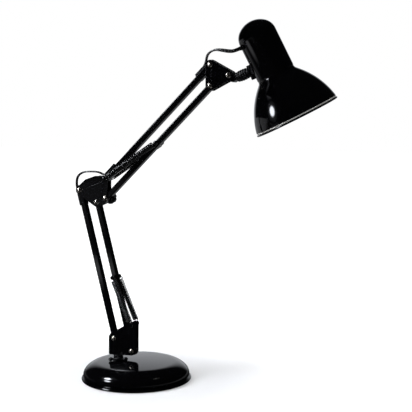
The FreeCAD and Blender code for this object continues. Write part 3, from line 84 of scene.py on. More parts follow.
# The lamp's own frames, in metres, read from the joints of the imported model.
LOWER_REAR = pivot("lower_arm_swing")
LOWER_FRONT = pivot("front_lower_follow")
ELBOW_REAR = pivot("elbow_level")
ELBOW_FRONT = ELBOW_REAR + LOWER_FRONT - LOWER_REAR
KNOB_PIVOT = pivot("lower_upper_follow")
TOP_PIVOT = pivot("upper_arm_swing")
HEAD_TOP = pivot("head_level")
HEAD_LOW = HEAD_TOP + KNOB_PIVOT - TOP_PIVOT
STEM_PIVOT = pivot("head_tilt")
POST = pivot("bracket_swivel")
LOWER = (ELBOW_REAR - LOWER_REAR).normalized()
UPPER = (HEAD_TOP - TOP_PIVOT).normalized()
STEM = Vector(JOINTS["head_swivel"]["axis"]).normalized()
STEM_TURN = about_y(90 - math.degrees(math.asin(STEM.z)))
HEAD_AT = pivot("head_swivel")
STEM_FOOT = HEAD_AT - STEM * STEM.dot(HEAD_AT - STEM_PIVOT)
HEAD_AXIS = Vector(MOUNTS["bulb_socket"]["axis"]).normalized()
HEAD_AXIS *= math.copysign(1, HEAD_AXIS.z)
# The pins that carry the springs: on the bracket's lugs, and part way up the two arms.
LUG = LOWER_REAR + Vector((37.5, 0, 27)) * MM
LOWER_PIN = LOWER_FRONT + LOWER * 131.8 * MM
UPPER_PIN = KNOB_PIVOT + UPPER * 141 * MM
# Outer face of the side plates, and of the clamp washers on them.
PLATE_FACE, WASHER_FACE = 6.9 * MM, 8.3 * MM
PIN_RADIUS = 2 * MM


def head_turn():
    """The head's rotation: leaned back about Y, then turned about its stem."""
    square = STEM_TURN.to_3x3() @ Vector((-1, 0, 0))
    turn = math.atan2(-HEAD_AXIS.y, HEAD_AXIS.dot(square))
    lean = math.asin(STEM.z) - math.asin(HEAD_AXIS.dot(STEM))
    return Matrix.Rotation(turn, 4, STEM) @ Matrix.Rotation(-lean, 4, "Y")


HEAD = Matrix.Translation(HEAD_AT) @ head_turn()


# What a user would change.

def length(name, description, size):
    """A length, with its default in millimetres."""
    return FloatProperty(name=name, description=description, default=size * MM, unit="LENGTH")


def angle(name, description, degrees):
    return FloatProperty(name=name, description=description, default=math.radians(degrees), subtype="ANGLE")


def colour(name, description, code):
    return FloatVectorProperty(name=name, description=description, default=linear(code),
                               subtype="COLOR", size=4, min=0, max=1)


def level(name, description, strength):
    return FloatProperty(name=name, description=description, default=strength, min=0)


class BaseSizes(bpy.types.PropertyGroup):
    side_radius: length("Side radius", "Radius of the base's upright side", 92)
    lip_radius: length("Lip radius", "Radius over the rolled lip", 95)
    shoulder_round: length("Shoulder", "Radius where the side turns over", 16)
    slope_round: length("Slope", "Radius between shoulder and crown", 36)
    wall: length("Wall", "Sheet thickness of the cover", 1.2)
    post_offset: length("Post offset", "Post axis behind the centre", 36.5)
    collar_radius: length("Collar", "Radius of the socket collar", 8.5)


class SpringSizes(bpy.types.PropertyGroup):
    wire_radius: length("Wire radius", "Radius of the spring wire", 0.75)
    coil_radius: length("Coil radius", "Mean radius of the coils", 4.6)
    pitch: length("Pitch", "Distance from coil to coil, under load", 2.0)
    eye_radius: length("Eye radius", "Mean radius of the end loops", 3.3)
    eye_reach: length("Eye reach", "End loop's centre to the first coil", 6.4)
    offset: length("Offset", "Middle of each spring from the arm's plane", 10.8)


class FlexSizes(bpy.types.PropertyGroup):
    core_radius: length("Core radius", "Radius of each sheathed core", 1.6)
    spacing: length("Spacing", "Distance between the two cores", 2.6)
    in_tube: length("In the tube", "Flex above the tube's axis inside it", 2.6)
    on_tube: length("On the tube", "Flex above the tube's axis under the hoods", 6.9)


class HeadSizes(bpy.types.PropertyGroup):
    rim_drop: length("Rim drop", "Stem's axis above the shade's rim", 94.5)
    rim_radius: length("Rim radius", "Radius of the shade's rim", 69.3)
    bell_round: length("Bell", "Radius of the bell's side", 125)
    throat_round: length("Throat", "Radius of the throat below the housing", 8)
    housing_radius: length("Housing radius", "Radius of the lamp housing", 31.2)
    housing_straight: length("Housing length", "Straight part of the housing", 64)
    housing_shoulder: length("Housing shoulder", "Radius where the housing turns over", 24)
    wall: length("Wall", "Sheet thickness of shade and housing", 1.0)
    grommet_height: length("Grommet height", "Grommet above the stem's axis", 40.5)
    grommet_bearing: angle("Grommet bearing", "Grommet's direction round the housing", 226)


class FinishColours(bpy.types.PropertyGroup):
    enamel: colour("Enamel", "Stoved black enamel", "#030304")
    lining: colour("Lining", "White enamel inside the shade", "#ebe9e2")
    nickel: colour("Nickel", "Nickel plating of rivets and bolts", "#d6d0c6")
    zinc: colour("Zinc", "Zinc plating of hidden fixings", "#b4b8bc")
    spring: colour("Spring", "Blacked spring wire", "#070708")
    plastic: colour("Plastic", "Black moulded plastic", "#070708")
    sheath: colour("Sheath", "Black cable sheath", "#060606")
    holder: colour("Holder", "Ivory plastic of the lamp holder", "#e4dfd2")
    brass: colour("Brass", "Threaded shell and contact", "#d9b56a")


class StudioSettings(bpy.types.PropertyGroup):
    azimuth: angle("Azimuth", "Camera's direction round the lamp", 25.6)
    elevation: angle("Elevation", "Camera above level", 4.96)
    roll: angle("Roll", "Camera's turn about its view", 0.21)
    distance: length("Distance", "Camera from its target", 1500)
    target: FloatVectorProperty(
        name="Target", description="Point the camera looks at", default=(0.133, 0.0, 0.3065),
        subtype="TRANSLATION", unit="LENGTH")
    lens: FloatProperty(
        name="Lens", description="Focal length on a 36 mm sensor, in millimetres", default=79.376)
    key_strength: level("Key light", "Brightness of the low softbox", 30)
    top_power: FloatProperty(
        name="Top light", description="Power of the top softbox", default=40, unit="POWER")
    backdrop: level("Backdrop", "Brightness of the backdrop in reflections", 0.9)
    floor_glow: level("Floor", "Added whiteness of the far floor to the camera", 0.95)
    near_glow: level("Near floor", "The same close to the base, where the shadow lies", 0.34)
    ambient: level("Ambient", "Strength of the light from all round", 0.45)


# Mesh helpers.

def in_scene(name, data):
    made = bpy.data.objects.new(name, data)
    bpy.context.scene.collection.objects.link(made)
    return made


def new_piece(name, mesh, body, finish, slot, *nodes):
    """Puts a finished mesh in the scene in place of the CAD nodes it stands for, and hides them: on its body, or
    unattached where it spans two bodies.
    """
    mesh.name = name
    piece = in_scene(name, mesh)
    if finish is not None:
        mesh.materials.clear()
        mesh.materials.append(FINISHES[finish])
    if isinstance(body, str):
        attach(piece, body)
    else:
        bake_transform(piece)
    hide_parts(*nodes)
    return piece


def smooth(mesh, sharp=34):
    """Smooth shading, but for edges sharper than an angle in degrees."""
    mesh.shade_smooth()
    mesh.set_sharp_from_angle(angle=math.radians(sharp))
    return mesh


def loft(rings, wrap=False, lining=None, sharp=34):
    """Skins rings with the same number of points, merged, with faces outwards. A ring of one
    point is a pole. lining gives the first and last band that take the second finish."""
    points, starts, faces, tags = [], [], [], []
    for ring in rings:
        starts.append(len(points))
        points.extend(ring)
    after = list(range(1, len(rings))) + ([0] if wrap else [])
    for low, high in zip(range(len(rings)), after):
        count = max(len(rings[low]), len(rings[high]))
        for i in range(count):
            j = (i + 1) % count
            corners = [starts[row] + (k if len(rings[row]) > 1 else 0)
                       for row, k in ((low, i), (low, j), (high, j), (high, i))]
            faces.append(list(dict.fromkeys(corners)))
            tags.append(1 if lining and lining[0] <= low <= lining[1] else 0)
    mesh = bpy.data.meshes.new("part")
    mesh.from_pydata([tuple(point) for point in points], [], faces)
    mesh.polygons.foreach_set("material_index", tags)
    shell = bmesh.new()
    shell.from_mesh(mesh)
    bmesh.ops.remove_doubles(shell, verts=shell.verts, dist=1e-7)
    bmesh.ops.recalc_face_normals(shell, faces=shell.faces)
    shell.to_mesh(mesh)
    shell.free()
    return smooth(mesh, sharp)


def circle(reach, height, steps, place=STAY):
    """A ring of points round the Z axis of a place. reach may depend on the turn."""
    made = []
    for i in range(steps):
        turn = 2 * math.pi * i / steps
        radius = reach(turn) if callable(reach) else reach
        made.append(place @ Vector((radius * math.cos(turn), radius * math.sin(turn), height)))
    return made


def spun(outline, place=STAY, steps=64, wrap=False, lining=None, sharp=34):
    """A turned piece round the Z axis of a place from (radius, height) points."""
    rings = [circle(radius, height, steps, place) if radius > 1e-7 else [place @ Vector((0, 0, height))]
             for radius, height in outline]
    return loft(rings, wrap, lining, sharp)


def arc(centre, radius, first, last, steps):
    """Points on an arc, with its angles in degrees."""
    turns = [math.radians(first + (last - first) * i / steps) for i in range(steps + 1)]
    return [(centre[0] + radius * math.cos(turn), centre[1] + radius * math.sin(turn)) for turn in turns]


def eased(corners, radius, wrap=False, steps=4):
    """Rounds the corners of a line through (radius, height) points."""
    rounded = []
    count = len(corners)
    for i, corner in enumerate(corners):
        here = Vector(corner)
        if not wrap and i in (0, count - 1):
            rounded.append(corner)
            continue
        before = Vector(corners[i - 1]) - here
        after = Vector(corners[(i + 1) % count]) - here
        reach = min(radius, before.length * 0.45, after.length * 0.45)
        start = here + before.normalized() * reach
        end = here + after.normalized() * reach
        for k in range(steps + 1):
            share = k / steps
            spot = start * (1 - share) ** 2 + here * 2 * share * (1 - share) + end * share ** 2
            rounded.append((spot.x, spot.y))
    return rounded


def in_mm(points):
    return [tuple(number * MM for number in point) for point in points]


def mirrored(line):
    """A line of (radius, height) points, upside down and in the other order."""
    return [(radius, -height) for radius, height in reversed(line)]


def softened(node, width, segments=2):
    """A copy of a CAD node with its loose faces merged and its sharp edges rounded."""
    shell = bmesh.new()
    shell.from_mesh(frame["nodes"][node].data)
    bmesh.ops.remove_doubles(shell, verts=shell.verts, dist=2e-6)
    bmesh.ops.dissolve_degenerate(shell, dist=1e-6, edges=shell.edges)
    bmesh.ops.dissolve_limit(shell, angle_limit=math.radians(0.6), verts=shell.verts, edges=shell.edges)
    mesh = bpy.data.meshes.new(node + "_copy")
    shell.to_mesh(mesh)
    shell.free()
    if "custom_normal" in mesh.attributes:
        mesh.attributes.remove(mesh.attributes["custom_normal"])
    mesh.shade_smooth()
    source = in_scene(node + "_copy", mesh)
    bevel = source.modifiers.new("Rounded edges", "BEVEL")
    bevel.width = width
    bevel.segments = segments
    bevel.limit_method = "ANGLE"
    bevel.angle_limit = math.radians(32)
    bevel.use_clamp_overlap = True
    bevel.miter_outer = "MITER_ARC"
    normals = source.modifiers.new("Weighted normals", "WEIGHTED_NORMAL")
    normals.keep_sharp = True
    return baked(source)


def baked(source):
    """The evaluated mesh of a scratch object, which is then removed."""
    graph = bpy.context.evaluated_depsgraph_get()
    mesh = bpy.data.meshes.new_from_object(source.evaluated_get(graph), depsgraph=graph)
    bpy.data.objects.remove(source)
    return mesh


# Node helpers.

def add(tree, kind, takes=None, gives=None, **settings):
    """Adds a node with its settings. takes gives each input, by name or number, a value or
    another node's output. Returns the output named by gives, or the first one."""
    node = tree.nodes.new(kind)
    for name, setting in settings.items():
        setattr(node, name, setting)
    for name, given in (takes or {}).items():
        if isinstance(name, int):
            socket = node.inputs[name]
        else:
            socket = next(item for item in node.inputs if item.enabled and item.name == name)
        if isinstance(given, bpy.types.NodeSocket):
            tree.links.new(given, socket)
        else:
            socket.default_value = given
    outputs = [item for item in node.outputs if item.enabled and gives in (None, item.name)]
    return outputs[0] if outputs else node


def mapped(tree, value, before, after, eased_in="LINEAR"):
    """Maps a value from one range to another."""
    return add(tree, "ShaderNodeMapRange", {
        "Value": value, "From Min": before[0], "From Max": before[1], "To Min": after[0],
        "To Max": after[1]}, interpolation_type=eased_in)


def new_geometry_tree(name, inputs):
    tree = bpy.data.node_groups.new(name, "GeometryNodeTree")
    tree.is_modifier = True
    keys = {}
    for label, kind in [("Geometry", "NodeSocketGeometry")] + inputs:
        keys[label] = tree.interface.new_socket(label, in_out="INPUT", socket_type=kind).identifier
    tree.interface.new_socket("Geometry", in_out="OUTPUT", socket_type="NodeSocketGeometry")
    return tree, keys, add(tree, "NodeGroupInput").node


def finish_geometry_tree(tree, group, shape):
    real = add(tree, "GeometryNodeRealizeInstances", {"Geometry": shape})
    coated = add(tree, "GeometryNodeSetMaterial", {"Geometry": real, "Material": group.outputs["Finish"]})
    add(tree, "NodeGroupOutput", {"Geometry": coated})


def wire_tree():
    """Geometry nodes that turn a path of edges into round wire."""
    tree, keys, group = new_geometry_tree("Round wire", [
        ("Radius", "NodeSocketFloat"), ("Sides", "NodeSocketInt"), ("Finish", "NodeSocketMaterial")])
    path = add(tree, "GeometryNodeMeshToCurve", {"Mesh": group.outputs["Geometry"]})
    section = add(tree, "GeometryNodeCurvePrimitiveCircle", {
        "Resolution": group.outputs["Sides"], "Radius": group.outputs["Radius"]})
    tube = add(tree, "GeometryNodeCurveToMesh", {
        "Curve": path, "Profile Curve": section, "Fill Caps": True})
    finish_geometry_tree(tree, group, add(tree, "GeometryNodeSetShadeSmooth", {"Geometry": tube}))
    return tree, keys


def pins_tree():
    """Geometry nodes that set a part on every point, along the point's own direction."""
    tree, keys, group = new_geometry_tree("Parts on pins", [
        ("Part", "NodeSocketObject"), ("Finish", "NodeSocketMaterial")])
    part = add(tree, "GeometryNodeObjectInfo", {"Object": group.outputs["Part"]}, gives="Geometry")
    along = add(tree, "GeometryNodeInputNamedAttribute", {"Name": "along"}, data_type="FLOAT_VECTOR")
    turn = add(tree, "FunctionNodeAlignRotationToVector", {"Vector": along}, axis="Z")
    placed = add(tree, "GeometryNodeInstanceOnPoints", {
        "Points": group.outputs["Geometry"], "Instance": part, "Rotation": turn})
    finish_geometry_tree(tree, group, placed)
    return tree, keys


def through_tree(source, tree_and_keys, **values):
    tree, keys = tree_and_keys
    modifier = source.modifiers.new(tree.name, "NODES")
    modifier.node_group = tree
    for label, given in values.items():
        modifier[keys[label.capitalize()]] = given
    return baked(source)


def wires(paths, radius, sides, finish):
    """A round wire along each path of points."""
    points, edges = [], []
    for path in paths:
        first = len(points)
        points.extend(path)
        edges.extend((i, i + 1) for i in range(first, len(points) - 1))
    mesh = bpy.data.meshes.new("wire_path")
    mesh.from_pydata([tuple(point) for point in points], edges, [])
    source = in_scene("wire_path", mesh)
    return through_tree(source, wire_tree(), radius=radius, sides=sides, finish=FINISHES[finish])


def on_pins(part_mesh, spots, finish):
    """A copy of a turned part at each (point, direction)."""
    part = in_scene("part_on_pin", part_mesh)
    mesh = bpy.data.meshes.new("pin_places")
    mesh.from_pydata([tuple(point) for point, along in spots], [], [])
    attribute = mesh.attributes.new("along", "FLOAT_VECTOR", "POINT")
    attribute.data.foreach_set("vector", [number for point, along in spots for number in along])
    made = through_tree(in_scene("pin_places", mesh), pins_tree(), part=part, finish=FINISHES[finish])
    bpy.data.objects.remove(part)
    return made


# Finishes. Each pattern has its real size in millimetres, in the object's own coordinates.

def new_finish(name):
    material = bpy.data.materials.new(name)
    material.use_nodes = True
    material.node_tree.nodes.clear()
    return material, material.node_tree


class Coat:
    """A finish for the lamp under construction."""

    def __init__(self, key, name):
        FINISHES[key], self.tree = new_finish(name)
        self.where = add(self.tree, "ShaderNodeTexCoord", gives="Object")

    def noise(self, size, detail, distortion=0.0):
        """Noise with features of about size millimetres."""
        return add(self.tree, "ShaderNodeTexNoise", {
            "Vector": self.where, "Scale": 1 / (size * MM), "Detail": detail, "Distortion": distortion})

    def cells(self, size):
        return add(self.tree, "ShaderNodeTexVoronoi", {
            "Vector": self.where, "Scale": 1 / (size * MM)}, gives="Distance")

    def spread(self, value, low, high, before=(0.3, 0.7)):
        return mapped(self.tree, value, before, (low, high))

    def mixed(self, share, first, second):
        """From the colour that the user sets, or a hex code, to a second hex code."""
        first = linear(first) if isinstance(first, str) else first
        return add(self.tree, "ShaderNodeMix", {
            "Factor": share, "A": first, "B": linear(second)}, data_type="RGBA")

    def relief(self, height, strength, depth):
        """A bump, with its depth in millimetres."""
        return add(self.tree, "ShaderNodeBump", {
            "Height": height, "Strength": strength, "Distance": depth * MM})

    def done(self, shade, gloss, relief=None, **more):
        takes = {"Base Color": shade, "Roughness": gloss}
        if relief is not None:
            takes["Normal"] = relief
        for name, given in more.items():
            takes[name.replace("_", " ")] = given
        surface = add(self.tree, "ShaderNodeBsdfPrincipled", takes)
        add(self.tree, "ShaderNodeOutputMaterial", {"Surface": surface})


def black_enamel(colours):
    """Stoved gloss enamel, sprayed on pressed steel: a deep wet black with sharp highlights, a
    faint orange peel about 2 mm across, specks of dust and a little haze where it is handled."""
    coat = Coat("enamel", "stoved_black_enamel")
    dusty = coat.spread(coat.noise(0.9, 2), 0.0, 0.35, before=(0.62, 0.8))
    gloss = coat.spread(coat.noise(35, 4), 0.04, 0.09, before=(0.35, 0.7))
    coat.done(coat.mixed(dusty, colours.enamel, "#141416"), gloss,
              coat.relief(coat.noise(2.2, 1), 0.06, 0.1), IOR=1.45)


def white_enamel(colours):
    """White stoved enamel inside the shade: bright, slightly warm, semi-gloss."""
    coat = Coat("lining", "stoved_white_enamel")
    aged = coat.spread(coat.noise(18, 3), 0.0, 0.5, before=(0.4, 0.8))
    coat.done(coat.mixed(aged, colours.lining, "#ddd9cd"), 0.28,
              coat.relief(coat.noise(2.2, 1), 0.08, 0.1), IOR=1.5)


def nickel_plate(colours):
    """Nickel plate on turned and headed steel: warm bright metal, finely worn, so its
    highlights break up a little."""
    coat = Coat("nickel", "nickel_plate")
    wear = coat.noise(1.4, 5)
    coat.done(coat.mixed(wear, colours.nickel, "#a39c92"),
              coat.spread(wear, 0.16, 0.38, before=(0.35, 0.7)), coat.relief(wear, 0.12, 0.05), Metallic=1.0)


def zinc_plate(colours):
    """Bright zinc plate on barrel-plated fixings: cool grey metal with a cloudy satin surface."""
    coat = Coat("zinc", "bright_zinc_plate")
    cloud = coat.noise(3, 6)
    coat.done(coat.mixed(cloud, colours.zinc, "#8f9396"), coat.spread(cloud, 0.28, 0.5),
              coat.relief(cloud, 0.2, 0.05), Metallic=1.0)


def spring_wire(colours):
    """Cold-drawn spring wire, blacked and oiled: near black with a sharp line of light on
    every coil, and fine drawing marks."""
    coat = Coat("spring", "blacked_spring_wire")
    grain = coat.noise(0.8, 4)
    coat.done(coat.mixed(grain, colours.spring, "#11100f"), coat.spread(grain, 0.16, 0.32),
              coat.relief(grain, 0.1, 0.03), IOR=1.8)


def black_plastic(colours):
    """Black plastic, injection moulded in a finely grained tool: polished by hands to a dull
    gloss over a grain of about 0.4 mm."""
    coat = Coat("plastic", "moulded_black_plastic")
    patch = coat.noise(9, 3)
    coat.done(coat.mixed(patch, colours.plastic, "#0d0d0e"), coat.spread(patch, 0.12, 0.22),
              coat.relief(coat.cells(0.4), 0.05, 0.05), IOR=1.45)


def black_nylon(colours):
    """Black nylon of the pivot washers: waxy, and not quite opaque at its edges."""
    coat = Coat("nylon", "black_nylon")
    patch = coat.noise(2, 3)
    coat.done(coat.mixed(patch, "#151515", "#1d1d1c"), coat.spread(patch, 0.35, 0.5),
              IOR=1.53, Subsurface_Weight=0.05)


def flex_sheath(colours):
    """Soft extruded sheath of the two cores: smooth, with a faint mottle from the die."""
    coat = Coat("sheath", "extruded_pvc_sheath")
    drawn = coat.noise(1.1, 3)
    coat.done(coat.mixed(drawn, colours.sheath, "#0b0b0b"), coat.spread(drawn, 0.26, 0.42),
              coat.relief(drawn, 0.1, 0.05), IOR=1.5)


def black_rubber(colours):
    """Moulded rubber of the boot on the stem: dull black with a dusty bloom."""
    coat = Coat("rubber", "moulded_rubber")
    bloom = coat.noise(1.5, 5)
    coat.done(coat.mixed(bloom, "#050505", "#0d0d0d"), coat.spread(bloom, 0.34, 0.52),
              coat.relief(bloom, 0.15, 0.05), IOR=1.33)


def needled_felt(colours):
    """Needled felt glued under the base: charcoal fibres, quite matt, with a soft sheen."""
    coat = Coat("felt", "needled_felt")
    fibre = coat.noise(0.7, 8, distortion=1.2)
    coat.done(coat.mixed(fibre, "#0f0f10", "#2c2c2e"), 0.95, coat.relief(fibre, 0.7, 0.3),
              Sheen_Weight=0.4, Sheen_Roughness=0.5)


def cast_iron(colours):
    """Sand-cast iron of the ballast: dark grey and gritty, with rust coming through."""
    coat = Coat("cast", "sand_cast_iron")
    rusty = coat.spread(coat.noise(14, 5), 0.0, 0.6, before=(0.5, 0.75))
    coat.done(coat.mixed(rusty, "#4a4947", "#5d3d2a"), 0.8, coat.relief(coat.noise(1.0, 8), 0.8, 0.3),
              Metallic=0.3)


def ivory_plastic(colours):
    """Ivory moulded plastic of the lamp holder: smooth, unevenly yellowed by the lamp's heat."""
    coat = Coat("holder", "moulded_ivory_plastic")
    coat.done(coat.mixed(coat.noise(15, 3), colours.holder, "#cdbf9f"), 0.38,
              IOR=1.5, Subsurface_Weight=0.08)


def drawn_brass(colours):
    """Brass of the screw shell and the contact: drawn thin, and dulled in patches."""
    coat = Coat("brass", "drawn_brass")
    dull = coat.noise(2.5, 6)
    coat.done(coat.mixed(dull, colours.brass, "#9a7a3f"), coat.spread(dull, 0.2, 0.42), Metallic=1.0)


# Operators, one for each piece or group of like pieces, each after the shapes it needs.

class LAMP_OT_finishes(bpy.types.Operator):
    """Make the lamp's finishes and give them to the hidden pieces that keep their CAD form"""
    bl_idname = "lamp.finishes"
    bl_label = "Finishes"

    def execute(self, context):
        for make in (black_enamel, white_enamel, nickel_plate, zinc_plate, spring_wire, black_plastic,
                     black_nylon, flex_sheath, black_rubber, needled_felt, cast_iron, ivory_plastic,
                     drawn_brass):
            make(context.scene.lamp_colours)
        for node, finish in (("base_weight", "cast"), ("base_nut", "zinc")):
            for place in frame["nodes"][node].material_slots:
                place.material = FINISHES[finish]
        return {"FINISHED"}


def cover_skin(sizes, inset):
    """Rings of the base cover's skin, from the hole for the collar to its upright side."""
    side_top, shoulder_angle, slope_angle, flat = 9 * MM, 45, 86, 58 * MM
    turn, lean = math.radians(shoulder_angle), math.radians(slope_angle)
    shoulder = (sizes.side_radius - sizes.shoulder_round, side_top)
    shift = sizes.slope_round - sizes.shoulder_round
    slope = (shoulder[0] - shift * math.cos(turn), shoulder[1] - shift * math.sin(turn))
    crown_round = (slope[0] + sizes.slope_round * math.cos(lean)) / math.cos(lean)
    crown = slope[1] + (sizes.slope_round - crown_round) * math.sin(lean)

    def top(distance):
        return crown + math.sqrt((crown_round - inset) ** 2 - distance ** 2)

    hole = sizes.collar_radius + 0.2 * MM
    rings = []
    for i in range(15):
        # from the hole, which is off centre, outwards to circles round the centre
        share = (i / 14) ** 1.5
        rings.append(cover_ring(hole + 0.25 * MM + (flat - hole) * share, top,
                                -sizes.post_offset * (1 - share)))
    rings.append(cover_ring((crown_round - inset) * math.cos(lean), top))
    line = arc(slope, sizes.slope_round - inset, slope_angle, shoulder_angle, 12)[1:]
    line += arc(shoulder, sizes.shoulder_round - inset, shoulder_angle, 0, 12)[1:]
    return rings + [cover_ring(radius, height) for radius, height in line]


def cover_ring(radius, height, centre=0.0):
    """A ring round the base, or off its centre. height may depend on the distance from the centre."""
    ring = circle(radius, 0, 176, Matrix.Translation((centre, 0, 0)))
    for spot in ring:
        spot.z = height(math.hypot(spot.x, spot.y)) if callable(height) else height
    return ring


def cover_mesh(sizes):
    """The base cover: a thin shell with a rolled bead below a crease pressed into its side."""
    low, bead = 0.6 * MM, 2.1 * MM
    side, inside, crease = sizes.side_radius, sizes.side_radius - sizes.wall, sizes.side_radius - 1.7 * MM
    lip = eased([(side, low + 7.8 * MM), (side, low + 7.0 * MM), (crease, low + 5.6 * MM),
                 (crease, low + 4.4 * MM)], 0.5 * MM)[:-1]
    lip += arc((sizes.lip_radius - bead, low + bead), bead, 118, -90, 14)
    lip += [(inside, low), (inside, low + 3.2 * MM), (crease - 1.0 * MM, low + 4.0 * MM),
            (crease - 1.0 * MM, low + 5.8 * MM), (inside, low + 7.3 * MM)]
    edge_height = 31.9 * MM
    rings = [cover_ring(sizes.collar_radius + 0.2 * MM, edge_height, -sizes.post_offset)]
    rings += cover_skin(sizes, 0) + [cover_ring(radius, height) for radius, height in lip]
    return loft(rings + cover_skin(sizes, sizes.wall)[::-1], wrap=True, sharp=50)


class LAMP_OT_base(bpy.types.Operator):
    """Spin the base cover with its rolled lip and the hole for the collar, and cut the felt pad"""
    bl_idname = "lamp.base"
    bl_label = "Base cover and pad"

    def execute(self, context):
        sizes = context.scene.lamp_base
        new_piece("base_cover_spun", cover_mesh(sizes), "base", "enamel", "black_enamel", "base_cover")
        edge, thickness = sizes.side_radius - sizes.wall - 0.3 * MM, 2 * MM
        outline = eased([(0, 0), (edge, 0), (edge, thickness), (0, thickness)], 0.5 * MM)
        pad = new_piece("base_felt", spun(outline, steps=128), "base", "felt", "felt_pad", "base_pad")
        return {"FINISHED"}


def collar_mesh(radius):
    """The socket's collar above the cover, bored for the post, and its stud below."""
    stud, bore, top, shoulder, floor = 6 * MM, 6.05 * MM, 37.7 * MM, 14 * MM, 17 * MM
    outline = [(0, 2.7 * MM), (stud, 2.7 * MM), (stud, shoulder), (radius, shoulder), (radius, top),
               (bore, top), (bore, floor), (0, floor)]
    return spun(eased(outline, 0.6 * MM), Matrix.Translation((POST.x, POST.y, 0)))


def wing_screw_mesh():
    """Shank, hub and two round ears, along the screw's axis."""
    along = Vector(JOINTS["locking_screw_turn"]["axis"]).normalized()
    along *= math.copysign(1, -along.y)
    across = UP.cross(along)
    seat = Vector((POST.x, POST.y, pivot("locking_screw_turn").z))
    middle = seat + along * 22.5 * MM
    # stations from ear to ear: distance across, half height, half length along the screw
    stations = [(17, 0, 0), (16.7, 1.1, 1.9), (15.8, 2.3, 3.6), (14.3, 3.0, 4.9), (12.6, 3.2, 5.3),
                (10.9, 2.8, 4.9), (9.4, 1.8, 4.3), (8.0, 1.2, 4.0), (6.6, 1.4, 4.2), (5.4, 1.8, 4.8),
                (4.2, 2.1, 5.3), (2.4, 2.3, 5.5), (1.2, 3.1, 5.5), (0, 3.5, 5.5)]
    stations += [(-reach, high, long) for reach, high, long in reversed(stations[:-1])]
    rings = []
    for reach, high, long in stations:
        centre = middle + across * reach * MM
        turns = [2 * math.pi * i / 32 for i in range(32 if high else 1)]
        rings.append([centre + (UP * high * math.sin(turn) + along * long * math.cos(turn)) * MM
                      for turn in turns])
    place = Matrix.Translation(seat) @ along.to_track_quat("Z", "Y").to_matrix().to_4x4()
    shank = spun(in_mm([(0, 6.3), (1.7, 6.3), (2.0, 6.6), (2.0, 14.8), (2.2, 15.2), (2.3, 15.8),
                        (2.3, 19.0), (0, 19.0)]), place, steps=32)
    shell = bmesh.new()
    for part in (loft(rings), shank):
        shell.from_mesh(part)
    mesh = bpy.data.meshes.new("wing_screw")
    shell.to_mesh(mesh)
    shell.free()
    return smooth(mesh, 40)


class LAMP_OT_socket(bpy.types.Operator):
    """Turn the socket collar and dress the swivelling post and the locking wing screw"""
    bl_idname = "lamp.socket"
    bl_label = "Socket, post and wing screw"

    def execute(self, context):
        collar = collar_mesh(context.scene.lamp_base.collar_radius)
        new_piece("socket_collar", collar, "base", "enamel", "black_enamel", "base_socket")
        new_piece("post_block", softened("swivel_post", 0.4 * MM), "lower_bracket", "enamel",
                  "plain_steel", "swivel_post")
        new_piece("wing_screw_moulded", wing_screw_mesh(), "locking_screw", "plastic", "black_plastic",
                  "wing_screw")
        return {"FINISHED"}


class LAMP_OT_side_plates(bpy.types.Operator):
    """Round the edges of the pressed side plates of the three brackets"""
    bl_idname = "lamp.side_plates"
    bl_label = "Side plates"

    def execute(self, context):
        for bracket in ("lower", "elbow", "head"):
            for side in ("near", "far"):
                node = f"{bracket}_plate_{side}"
                new_piece(f"{bracket}_pressing_{side}", softened(node, 0.22 * MM), bracket + "_bracket",
                          "enamel", "black_enamel", node)
        return {"FINISHED"}


def rivet_half(radius=4.85 * MM, rise=2.9 * MM):
    """A rivet's domed head down to the plate, from its middle outwards."""
    bow = (radius ** 2 + rise ** 2) / (2 * rise)
    reach = math.degrees(math.asin(radius / bow))
    dome = arc((0, PLATE_FACE + rise - bow), bow, 90, 90 - reach, 10)
    edge = [dome[-2], dome[-1], (radius, PLATE_FACE), (PIN_RADIUS, PLATE_FACE)]
    return dome[:-1] + eased(edge, 0.3 * MM)[1:-1]


def rivet_mesh():
    half = rivet_half()
    shank = [(PIN_RADIUS, PLATE_FACE), (PIN_RADIUS, -PLATE_FACE)]
    return spun(half + shank + mirrored(half), steps=40, sharp=40)


def bolt_mesh(end, hollow):
    """A clamp bolt with the rivets' head, drilled if hollow, and a plain end."""
    head = [(radius, -height) for radius, height in rivet_half()]
    if hollow:
        head = in_mm([(0, -3.0), (1.9, -3.2), (2.2, -9.0)]) + [spot for spot in head if spot[0] > 2.5 * MM]
    tail = eased([(PIN_RADIUS, 0), (PIN_RADIUS, end), (0, end)], 0.4 * MM)[1:]
    return spun(head + [(PIN_RADIUS, -PLATE_FACE)] + tail, steps=40, sharp=40)


def piece_on_pins(node, made, body, part_mesh, spots, finish, slot):
    """One piece of like parts on their pins, named for its node and for how it was made."""
    new_piece(f"{node}_{made}", on_pins(part_mesh, spots, finish), body, None, slot, node)


class LAMP_OT_rivets(bpy.types.Operator):
    """Set the domed rivets on the pivots, and the bolts of the two clamped ones"""
    bl_idname = "lamp.rivets"
    bl_label = "Rivets and bolts"

    def execute(self, context):
        for bracket, spots in (("lower", (LOWER_REAR, LOWER_FRONT)), ("elbow", (ELBOW_REAR, ELBOW_FRONT)),
                               ("head", (HEAD_TOP, HEAD_LOW))):
            piece_on_pins(bracket + "_rivets", "set", bracket + "_bracket", rivet_mesh(),
                          [(spot, ACROSS) for spot in spots], "nickel", "nickel")
        for bracket, spot, end, hollow in (("elbow", KNOB_PIVOT, 15.3 * MM, False),
                                           ("head", STEM_PIVOT, 14.3 * MM, True)):
            piece_on_pins(bracket + "_bolt", "set", bracket + "_bracket", bolt_mesh(end, hollow),
                          [(spot, ACROSS)], "nickel", "nickel")
        return {"FINISHED"}


